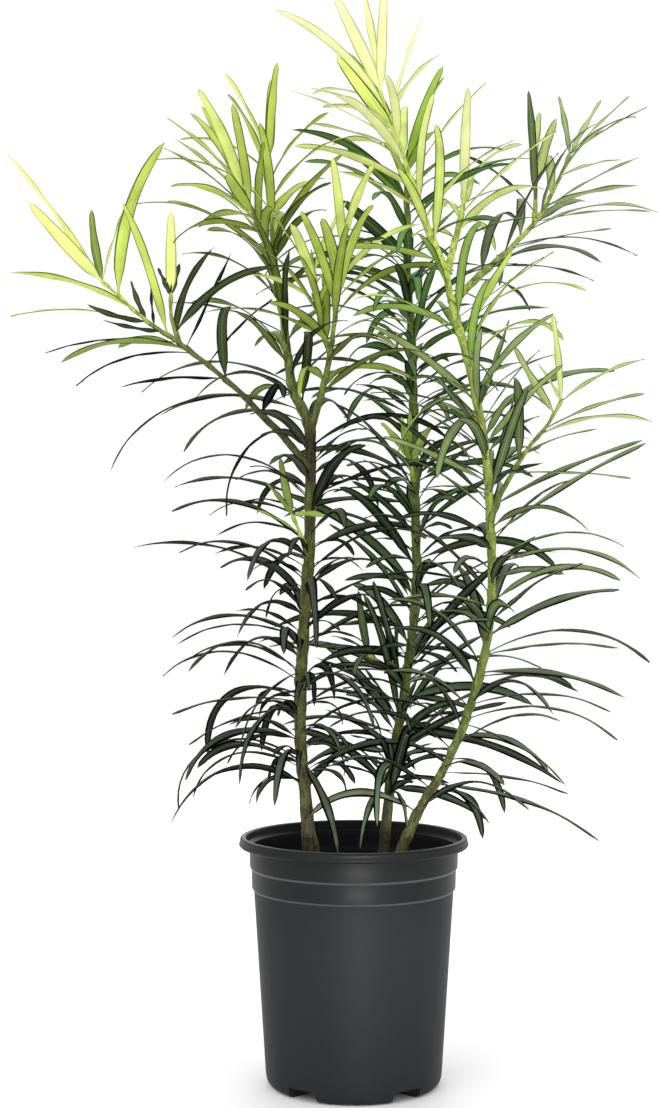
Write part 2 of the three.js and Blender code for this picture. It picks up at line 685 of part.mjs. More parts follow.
function makeBough(limb, limbs) {
  return mainBody(limbSolid(limb).subtract(limbSolid(limbs[limb.from], GAP)));
}

// ---------- leaves ----------

// Points in a grid of cells, to find what lies near a place.
class Neighbours {
  constructor(cell) {
    this.cell = cell;
    this.cells = new Map();
  }

  key(p, dx = 0, dy = 0, dz = 0) {
    const [x, y, z] = [p.x, p.y, p.z].map((v) => Math.floor(v / this.cell));
    return `${x + dx},${y + dy},${z + dz}`;
  }

  add(point, owner, radius, near = false) {
    const key = this.key(point);
    if (!this.cells.has(key)) this.cells.set(key, []);
    this.cells.get(key).push({ point, owner, radius, near });
  }

  // Whether any point lies nearer than tooClose() allows for it.
  clash(p, tooClose) {
    for (let dx = -1; dx <= 1; dx += 1) {
      for (let dy = -1; dy <= 1; dy += 1) {
        for (let dz = -1; dz <= 1; dz += 1) {
          for (const item of this.cells.get(this.key(p, dx, dy, dz)) ?? []) {
            if (p.distanceTo(item.point) < tooClose(item)) return true;
          }
        }
      }
    }
    return false;
  }
}

// A leaf's middle line: it leaves its root at its rise and turns down along its length.
function leafLine(leaf) {
  const points = [leaf.root.clone()];
  const piece = leaf.length / LEAF.steps;
  for (let k = 0; k < LEAF.steps; k += 1) {
    const t = (k + 0.5) / LEAF.steps;
    const rise = radians(leaf.rise - leaf.droop * t ** LEAF.droopPower);
    const heading = radians(leaf.heading + leaf.sweep * t);
    const last = points[k];
    points.push(new THREE.Vector3(
      last.x + piece * Math.cos(rise) * Math.cos(heading),
      last.y + piece * Math.cos(rise) * Math.sin(heading),
      last.z + piece * Math.sin(rise),
    ));
  }
  return points;
}

function leafSolid(leaf) {
  const kind = leaf.droop > ARCHED_FROM ? ARCHED_RINGS : STRAIGHT_RINGS;
  const rings = kind.map(([k, widthShare, depthShare]) =>
    leafRing(leaf, k, widthShare * leaf.width / 2, depthShare * LEAF.thickness));
  return loft([leafRoot(leaf), ...rings, [leaf.points[LEAF.steps]]]);
}

// A three-sided ring across a leaf: its two margins, and its keel under its middle line.
function leafRing(leaf, k, half, depth) {
  const t = k / LEAF.steps;
  const rise = radians(leaf.rise - leaf.droop * t ** LEAF.droopPower);
  const heading = radians(leaf.heading + leaf.sweep * t);
  const ahead = new THREE.Vector3(
    Math.cos(rise) * Math.cos(heading), Math.cos(rise) * Math.sin(heading), Math.sin(rise));
  const flat = new THREE.Vector3(-Math.sin(heading), Math.cos(heading), 0);
  const side = flat.applyAxisAngle(ahead, radians(leaf.roll));
  const up = ahead.clone().cross(side);
  const middle = leaf.points[k];
  return [
    middle.clone().addScaledVector(side, half),
    middle.clone().addScaledVector(side, -half),
    middle.clone().addScaledVector(up, -depth),
  ];
}

// A root in a sleeve is a small ring inside its wall. One in a shoot is a point behind its middle.
function leafRoot(leaf) {
  if (leaf.behind) return [leaf.root.clone().addScaledVector(leaf.out, -leaf.behind)];
  return leafRing(leaf, 0, LEAF_ROOT.half * leaf.width, LEAF_ROOT.depth);
}

// Whether a leaf stays in the crown and its mass's space, over the pot and clear of the rest.
function fits(leaf, mass, grown) {
  for (let k = 1; k <= LEAF.steps; k += 1) {
    const p = leaf.points[k];
    const values = [p.x, p.y, p.z];
    if (values.some((v, i) => v < mass.low[i] || v > mass.high[i])) return false;
    const fromAxis = Math.hypot(p.x, p.y);
    const overRim = fromAxis > ROOM.mouth && fromAxis < POT.brim + ROOM.pot;
    if (overRim && p.z < POT.rimHeight + ROOM.pot) return false;
    if (p.z < SOIL_LEVEL + ROOM.pot) return false;
    const fromRoot = k * leaf.length / LEAF.steps;
    const nearRoot = fromRoot < ROOM.freeRoot;
    const tooClose = (item) => {
      const own = item.owner === mass.name || item.owner === mass.carrier;
      if (own && (nearRoot || item.near)) return 0;
      if (item.radius > 0) return item.radius + (own ? ROOM.ownStem : ROOM.limb);
      if (own) return ROOM.sameMass;
      return nearRoot && item.near ? ROOM.nearRoots : ROOM.otherMass;
    };
    if (grown.clash(p, tooClose)) return false;
  }
  return true;
}

function recordLeaf(leaf, mass, grown) {
  leaf.points.forEach((p, k) => {
    const near = k * leaf.length / LEAF.steps < ROOM.freeRoot;
    grown.add(p, mass.name, 0, near);
  });
}

// One leaf of the spiral, tried with a little more freedom each time until it fits.
function growLeaf(shoot, distance, order, mass, grown) {
  const draw = random(1000 * mass.seed + 200 * shoot.order + order);
  const spread = (amount) => (draw() * 2 - 1) * amount;
  const limits = { ...SPREAD, ...mass.spread };
  const place = distance + spread(SPREAD.place);
  const at = stand(shoot.line, place);
  const age = lerp(...shoot.age, (place - shoot.from) / (shoot.to - shoot.from));
  const opening = Math.max(0, (age - LEAF.opening) / (1 - LEAF.opening));
  for (let attempt = 0; attempt < LEAF.tries; attempt += 1) {
    const turnSpread = SPREAD.turn + SPREAD.turnMore * attempt;
    const turn = radians(LEAF.turn * order + shoot.turn + spread(turnSpread));
    const angle = radians(lerp(...LEAF.angle, age) + spread(SPREAD.angle));
    const leaf = aimLeaf(shoot, at, place, turn, angle);
    leaf.rise = lerp(leaf.rise, mass.lift ?? LEAF.lift, LEAF.liftShare) + spread(limits.rise);
    leaf.droop = (mass.droop ?? lerp(...LEAF.droop, age)) + spread(limits.droop);
    leaf.sweep = spread(SPREAD.sweep);
    leaf.roll = spread(limits.roll);
    const size = (1 - LEAF.openingShrink * opening) * (1 - LEAF.shrink * attempt);
    leaf.length = lerp(...LEAF.length, age) * shoot.leafScale * size * (1 + spread(SPREAD.length));
    const width = lerp(...LEAF.width, age) * Math.sqrt(shoot.leafScale);
    leaf.width = width * (1 + spread(SPREAD.width));
    if (keepIfFits(leaf, mass, grown)) return [leaf];
  }
  return [];
}

// Where a leaf leaves a shoot, and which way, at an angle from the shoot's own direction.
function aimLeaf(shoot, at, distance, turn, angle) {
  const out = sideways(at, turn);
  const ahead = at.ahead.clone().multiplyScalar(Math.cos(angle)).addScaledVector(out, Math.sin(angle));
  return {
    ...standLeaf(shoot, at, distance, out),
    heading: degrees(Math.atan2(ahead.y, ahead.x)),
    rise: degrees(Math.asin(ahead.z)),
  };
}

// A leaf's root on a shoot, on the side that out points to.
function standLeaf(shoot, at, distance, out) {
  const radius = shoot.radiusAt(distance);
  return {
    out,
    root: at.place.clone().addScaledVector(out, shoot.free ? 0 : radius - LEAF.sink),
    behind: shoot.free ? LEAF.behind * radius : 0,
  };
}

// Keeps a leaf if it fits.
function keepIfFits(leaf, mass, grown) {
  leaf.points = leafLine(leaf);
  if (!fits(leaf, mass, grown)) return false;
  recordLeaf(leaf, mass, grown);
  return true;
}

// The leaves with headings and rises of their own, at a height or, without one, at the tip.
function growChosen(mass, shoot, grown) {
  const leaves = [...shoot.chosen, ...shoot.fan].map((entry) => {
    const tip = shoot.line.total - TIP_MARGIN;
    const distance = entry.height ? distanceAt(shoot.line, entry.height) : tip;
    const at = stand(shoot.line, distance);
    const turn = radians(entry.heading);
    const out = new THREE.Vector3(Math.cos(turn), Math.sin(turn), 0);
    return { ...standLeaf(shoot, at, distance, out), sweep: 0, ...entry };
  });
  return leaves.filter((leaf) => keepIfFits(leaf, mass, grown));
}

function growTuft(mass, shoot, grown) {
  const draw = random(7 + 1000 * mass.seed + shoot.order);
  const leaves = [];
  for (let i = 0; i < TUFT.leaves; i += 1) {
    const share = i / (TUFT.leaves - 1);
    const distance = shoot.line.total - TUFT.end - i * TUFT.step;
    const at = stand(shoot.line, distance);
    const turn = radians(LEAF.turn * i + shoot.turn + TUFT.turnSpread * draw());
    const leaf = aimLeaf(shoot, at, distance, turn, radians(lerp(...TUFT.angle, share)));
    leaf.droop = TUFT.droop * (1 + draw());
    leaf.sweep = 0;
    leaf.roll = TUFT.rollSpread * (draw() - 0.5);
    const length = lerp(...TUFT.length, share) * shoot.leafScale;
    leaf.length = length * lerp(...TUFT.lengthSpread, draw());
    leaf.width = TUFT.width * Math.sqrt(shoot.leafScale) * lerp(...TUFT.widthSpread, draw());
    if (keepIfFits(leaf, mass, grown)) leaves.push(leaf);
  }
  return leaves;
}

function growShoot(shoot, mass, grown) {
  const leaves = [];
  const step = mass.step ?? (shoot.free ? LEAF.shootStep : LEAF.step);
  const count = Math.floor((shoot.to - shoot.from) / step);
  for (let order = 0; order <= count; order += 1) {
    leaves.push(...growLeaf(shoot, shoot.from + order * step, order, mass, grown));
  }
  return leaves;
}

// ---------- masses ----------

// A mass round a stem: its shoot is the stem's own line between two heights.
function sleeveShoot(mass, limb) {
  const [first, last] = mass.span.map((height) => distanceAt(limb.line, height));
  const end = last - SLEEVE_BREAK;
  return {
    line: limb.line,
    radiusAt: (d) => limb.radiusAt(d) + SLEEVE,
    first,
    end,
    from: first + LEAF.endMargin,
    to: end - LEAF.endMargin,
    age: mass.age,
    turn: SHOOT.turnPerSeed * mass.seed,
    order: 0,
    leafScale: 1,
    chosen: mass.chosen ?? [],
    fan: [],
    free: false,
  };
}

// A short new shoot from the side of a sleeve.
function sproutShoot(mass, sleeve) {
  const sprout = { ...SPROUT, ...mass.sprout };
  const at = stand(sleeve.line, distanceAt(sleeve.line, sprout.height));
  const turn = radians(sprout.heading);
  const out = new THREE.Vector3(Math.cos(turn), Math.sin(turn), 0);
  const rise = radians(sprout.rise);
  const foot = at.place.clone().addScaledVector(out, sleeve.radiusAt(0) - sprout.sink);
  const tip = foot.clone().addScaledVector(out, sprout.length * Math.cos(rise));
  tip.z += sprout.length * Math.sin(rise);
  return freeShoot([foot.toArray(), tip.toArray()], sprout.radius, 1, mass.seed, sprout);
}

// A shoot that stands by itself. The spec gives its age, and any leaves set by themselves.
function freeShoot(through, radius, order, seed, spec) {
  const line = makeLine(through);
  return {
    line,
    radiusAt: (d) => lerp(radius, SHOOT.tipRadius, d / line.total),
    from: order === 0 ? SHOOT.bare : SHOOT.twigBare,
    to: line.total - TUFT.leaves * TUFT.step,
    age: spec.age,
    leafScale: spec.leafScale ?? 1,
    chosen: spec.chosen ?? [],
    fan: spec.fan ?? [],
    turn: SHOOT.turnPerSeed * seed + SHOOT.turnPerTwig * order,
    order,
    free: true,
  };
}

// A mass past a limb's tip: a main shoot, then its side twigs.
function tipShoots(mass, limb) {
  const end = stand(limb.line, limb.line.total);
  const start = end.place.clone().addScaledVector(end.ahead, GAP);
  const radius = limb.radiusAt(limb.line.total);
  const twigRadius = lerp(radius, SHOOT.tipRadius, SHOOT.twigShare);
  const twigAge = [lerp(...mass.age, SHOOT.twigShare), mass.age[1]];
  const main = freeShoot([start.toArray(), ...mass.through], radius, 0, mass.seed, mass);
  const twigs = (mass.twigs ?? []).map((twig, i) =>
    freeShoot(twig.through, twigRadius, i + 1, mass.seed, { age: twigAge, ...twig }));
  return [main, ...twigs];
}

// The shoots of a mass, and the space that it keeps to.
function prepareMass(mass) {
  const carrier = mass.on ?? mass.tip;
  const shoots = mass.on ? [sleeveShoot(mass, limbs[mass.on])] : tipShoots(mass, limbs[mass.tip]);
  if (mass.sprout) shoots.push(sproutShoot(mass, shoots[0]));
  const places = shoots.flatMap((shoot) =>
    [shoot.from, shoot.to].map((d) => stand(shoot.line, d).place));
  const box = new THREE.Box3().setFromPoints(places);
  const side = REACH.sideways;
  const low = [box.min.x - side, box.min.y - side, box.min.z - REACH.below];
  const high = [box.max.x + side, box.max.y + side, box.max.z + REACH.above];
  return {
    ...mass,
    carrier,
    shoots,
    low: low.map((v, i) => Math.max(v, CROWN.low[i])),
    high: high.map((v, i) => Math.min(v, CROWN.high[i])),
  };
}

function recordLine(grown, owner, line, radiusAt) {
  for (const d of evenSteps(0, line.total, ROOM.lineStep)) {
    grown.add(stand(line, d).place, owner, radiusAt(d));
  }
}

// The leaves of the spiral, after a tuft at the tip of each free shoot that has no fan.
function growMass(mass, grown) {
  const tufted = mass.shoots.filter((shoot) => shoot.free && shoot.fan.length === 0);
  const tufts = tufted.flatMap((shoot) => growTuft(mass, shoot, grown));
  return [...tufts, ...mass.shoots.flatMap((shoot) => growShoot(shoot, mass, grown))];
}

function shootSolid(mass, shoot) {
  if (shoot.free) {
    const rings = evenSteps(0, shoot.line.total, STATION);
    return tube(shoot.line, rings, shoot.radiusAt, SHOOT_SIDES);
  }
  return tube(shoot.line, evenSteps(shoot.first, shoot.end, STATION), shoot.radiusAt, STEM_SIDES);
}

function massSolid(mass) {
  const pieces = [...mass.shoots.map((shoot) => shootSolid(mass, shoot)), ...mass.leaves.map(leafSolid)];
  let solid = wasm.Manifold.union(pieces);
  for (const limb of Object.values(limbs)) solid = solid.subtract(limbSolid(limb, GAP));
  return mainBody(solid);
}

// ---------- assembly ----------

const COLOURS = {
  pot: { color: 0x232426, roughness: 0.55 },
  soil: { color: 0x3a2a1e, roughness: 0.95 },
  wood: { color: 0x6d6a3a, roughness: 0.8 },
  greenwood: { color: 0x7c8f35, roughness: 0.7 },
};

// Old leaves are dark grey-green, new ones lime.
function leafColour(age) {
  const old = new THREE.Color(0x2f4a33);
  return old.lerp(new THREE.Color(0xb4d94a), age);
}

function addMesh(group, name, solid, look) {
  const material = new THREE.MeshStandardMaterial({ metalness: 0, ...look });
  const mesh = new THREE.Mesh(toGeometry(solid), material);
  mesh.name = name;
  group.add(mesh);
}

const limbs = Object.fromEntries(
  Object.entries(LIMBS).map(([name, spec]) => [name, prepareLimb(spec)]));

const grown = new Neighbours(ROOM.cell);
for (const [name, limb] of Object.entries(limbs)) {
  recordLine(grown, name, limb.line, (d) => limb.radiusAt(d) + SLEEVE);
}
const masses = MASSES.map(prepareMass);
for (const mass of masses) {
  for (const shoot of mass.shoots.filter(({ free }) => free)) {
    recordLine(grown, mass.name, shoot.line, shoot.radiusAt);
  }
}
for (const mass of masses) {
  mass.leaves = mass.shoots.flatMap((shoot) => growChosen(mass, shoot, grown));
}
for (const mass of masses) mass.leaves.push(...growMass(mass, grown));

const plant = new THREE.Group();
addMesh(plant, 'pot', makePot(), COLOURS.pot);
addMesh(plant, 'soil', makeSoil(), COLOURS.soil);
for (const [name, limb] of Object.entries(limbs)) {
  const solid = limb.from ? makeBough(limb, limbs) : makeTrunk(limb);
  addMesh(plant, name, solid, limb.from ? COLOURS.greenwood : COLOURS.wood);
}
for (const mass of masses) {
  const colour = leafColour((mass.age[0] + mass.age[1]) / 2);
  addMesh(plant, mass.name, massSolid(mass), { color: colour, roughness: 0.5 });
}

export default plant;
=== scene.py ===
"""The looks of a potted podocarpus: three leafy stems in a round black nursery pot.

The plant grows by the same rule as its solids: stems and boughs along smooth lines, leaves in
a spiral on them, each tried until it is clear of what grew before it. Here each leaf has its
own outline, midrib and section, the stems have bark and leaf cushions, and small leaves fill
in between the large ones. Sizes are in millimetres and are scaled when a mesh is made.
"""
import itertools
import math

import bmesh
import bpy
import mathutils
import numpy as np
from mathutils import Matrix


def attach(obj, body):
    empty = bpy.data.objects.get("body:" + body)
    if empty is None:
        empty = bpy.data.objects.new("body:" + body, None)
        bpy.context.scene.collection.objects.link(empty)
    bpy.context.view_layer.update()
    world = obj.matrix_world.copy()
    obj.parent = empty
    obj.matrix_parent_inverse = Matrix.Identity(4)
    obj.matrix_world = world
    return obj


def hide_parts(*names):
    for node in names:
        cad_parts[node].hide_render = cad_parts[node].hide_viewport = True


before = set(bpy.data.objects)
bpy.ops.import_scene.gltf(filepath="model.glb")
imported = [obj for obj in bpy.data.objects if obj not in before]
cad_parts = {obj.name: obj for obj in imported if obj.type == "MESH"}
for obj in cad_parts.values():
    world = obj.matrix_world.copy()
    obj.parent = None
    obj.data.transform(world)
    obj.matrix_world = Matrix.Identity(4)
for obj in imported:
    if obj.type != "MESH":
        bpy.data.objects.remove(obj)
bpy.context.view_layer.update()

MM = 0.001

# ---------- the pot and the soil ----------

POT = {
    "rim_height": 177, "floor": 1.8, "floor_radius": 56, "floor_rounding": 1.5, "brim": 82.5,
    "facets": 180,
    "ring_step": 9,
    # the smoother band begins at this height, and between these heights the edges are painted pale, a
    # painted highlight where the steps and the top of the rim catch the light
    "band": 140.4,
    "painted_highlight": [[138.8, 140.4], [153.7, 155.3], [176.2, 177.1]],
    # [radius, height, rounding] up the outside, from the foot to the top of the rolled rim
    "outside": [
        [57, 0, 1.2], [60.8, 1.2, 2], [62.6, 4, 3], [63.2, 8, 6], [71.6, 138.9, 1.2], [73, 139.9, 0.9],
        [73.4, 154, 0.9], [74.5, 155, 0.7], [74.9, 169.6, 0.9], [81.4, 169.6, 1], [82.5, 171.2, 0.9],
        [81.6, 173.6, 0.9], [81.5, 175.8, 1.2], [79.4, 177, 1], [77.4, 176, 1],
    ],
    # down the inside, from the rim's inner edge to the floor
    "inside": [
        [77, 170.9, 0.8], [73.4, 169.9, 0.8], [72.9, 157.4, 0.8], [71.9, 156, 0.8], [61.6, 9, 4],
        [58.6, 3.4, 2],
    ],
}
FOOT = {"count": 5, "first": -54, "half_angle": 10.5, "inner": 38, "outer": 74, "height": 8,
        "under": 3, "flare": 1.2, "wall": 1.3, "hole": 4.5, "hole_at": 49, "hole_sides": 32,
        "arc_steps": 6, "housing": [[58, 0.5], [61.5, 4], [62.2, 8], [63.2, 20]]}
SOIL_LEVEL = 150
SOIL = {"radius": 71.2, "rings": 56, "spokes": 170, "surface": SOIL_LEVEL - 1.2, "middle": 0.6,
        "depth": 12, "sharp": 180}

# ---------- stems and boughs ----------

GAP = 0.3
SLEEVE = 1.5
SLEEVE_BREAK = 1.5
LINE_SAMPLES = 24

# Middle lines and radii, as in the solids. Tones are [height, tone of the bark], see BARK_TONES.
LIMBS = {
    "trunk_left": {
        "cover": 1.3,
        "through": [[-31, -10, 150.3], [-34, -10, 200], [-38, -9, 245], [-37, -8, 305], [-32, -7, 379],
                    [-31, -6, 430], [-33, -4, 474], [-43, -3, 495], [-47, -2, 518], [-50, 0, 546]],
        "radii": [4.3, 2.8, 2.8, 2.7, 2.6, 2.4, 2.1],
        "root": {"through": [[-23, -13, 150.3], [-26, -12, 168], [-32, -10, 194]],
                 "radii": [2.2, 1.8, 1.5]},
        "tones": [[150, 1], [200, 1.4], [300, 2.2], [420, 2.4], [444, 1], [462, 0.4], [474, 2.6],
                  [560, 3.6], [640, 4.4]],
    },
    "trunk_middle": {
        "cover": 0.8,
        "through": [[21, 15, 150.3], [26, 17, 203], [33, 20, 253], [40, 22, 297], [46, 24, 350],
                    [45, 25, 427], [44, 25, 488], [42, 24, 549], [39.5, 21, 578], [40, 19, 608]],
        "radii": [3.6, 2.4, 2.4, 2.3, 2.3, 2.2, 1.9],
        "root": {"through": [[14, 20, 150.3], [19, 18, 160], [23, 16, 178]], "radii": [2.1, 1.8, 1.5]},
        "tones": [[150, 1], [190, 1.6], [250, 2.6], [300, 3], [500, 3.2], [680, 3.6]],
    },
    "trunk_right": {
        "cover": 0.55,
        "through": [[26.5, -12, 150.3], [44, -14, 192], [69, -16, 237], [86, -18, 283], [96, -20, 330],
                    [97, -20, 388], [92.5, -20, 455], [81, -18, 514], [68.5, -14, 562], [65, -13, 582],
                    [58, -12, 598]],
        "radii": [4, 2.4, 2.4, 2.4, 2.3, 2.2, 2],
        "root": {"through": [[33, -17, 150.3], [35, -15, 161], [40, -14, 182]], "radii": [2.1, 1.8, 1.5]},
        "tones": [[150, 1.4], [190, 2], [260, 3.4], [330, 4], [430, 4.6], [520, 5.2], [600, 5.8], [720, 6]],
    },
    "left_bough": {
        "from": "trunk_left",
        "through": [[-32, -5.5, 440], [-43, -9, 454], [-52, -12, 465]],
        "radii": [2.3, 2.2, 2.1],
        "tones": [[440, 1.6], [500, 2.2], [522, 3], [545, 4.6], [570, 5.6]],
    },
    "left_inner_bough": {
        "from": "trunk_left",
        "through": [[-32, -4.5, 466], [-28, -7, 477], [-24.5, -9.5, 488]],
        "radii": [2.2, 2.1, 2],
        "tones": [[460, 2.2], [500, 3.2], [600, 4.6]],
    },
    "right_side_bough": {
        "from": "trunk_right",
        "through": [[96, -20, 402], [99, -22, 411], [103, -24.5, 421]],
        "radii": [1.6, 1.5, 1.4],
        "tones": [[400, 3.4], [440, 3.8], [490, 4.6]],
    },
    "right_outer_bough": {
        "from": "trunk_right",
        "through": [[69.5, -14.5, 557], [76, -11, 564], [84, -6, 572.5]],
        "radii": [2.4, 2.3, 2.2],
        "tones": [[555, 5], [600, 4.6], [680, 4.6]],
    },
    "right_inner_bough": {
        "from": "trunk_right",
        "through": [[65.3, -13, 580], [68.5, -10.5, 588], [71, -8, 597]],
        "radii": [2.1, 2, 1.9],
        "tones": [[575, 5], [660, 5.8]],
    },
}

# ---------- foliage ----------

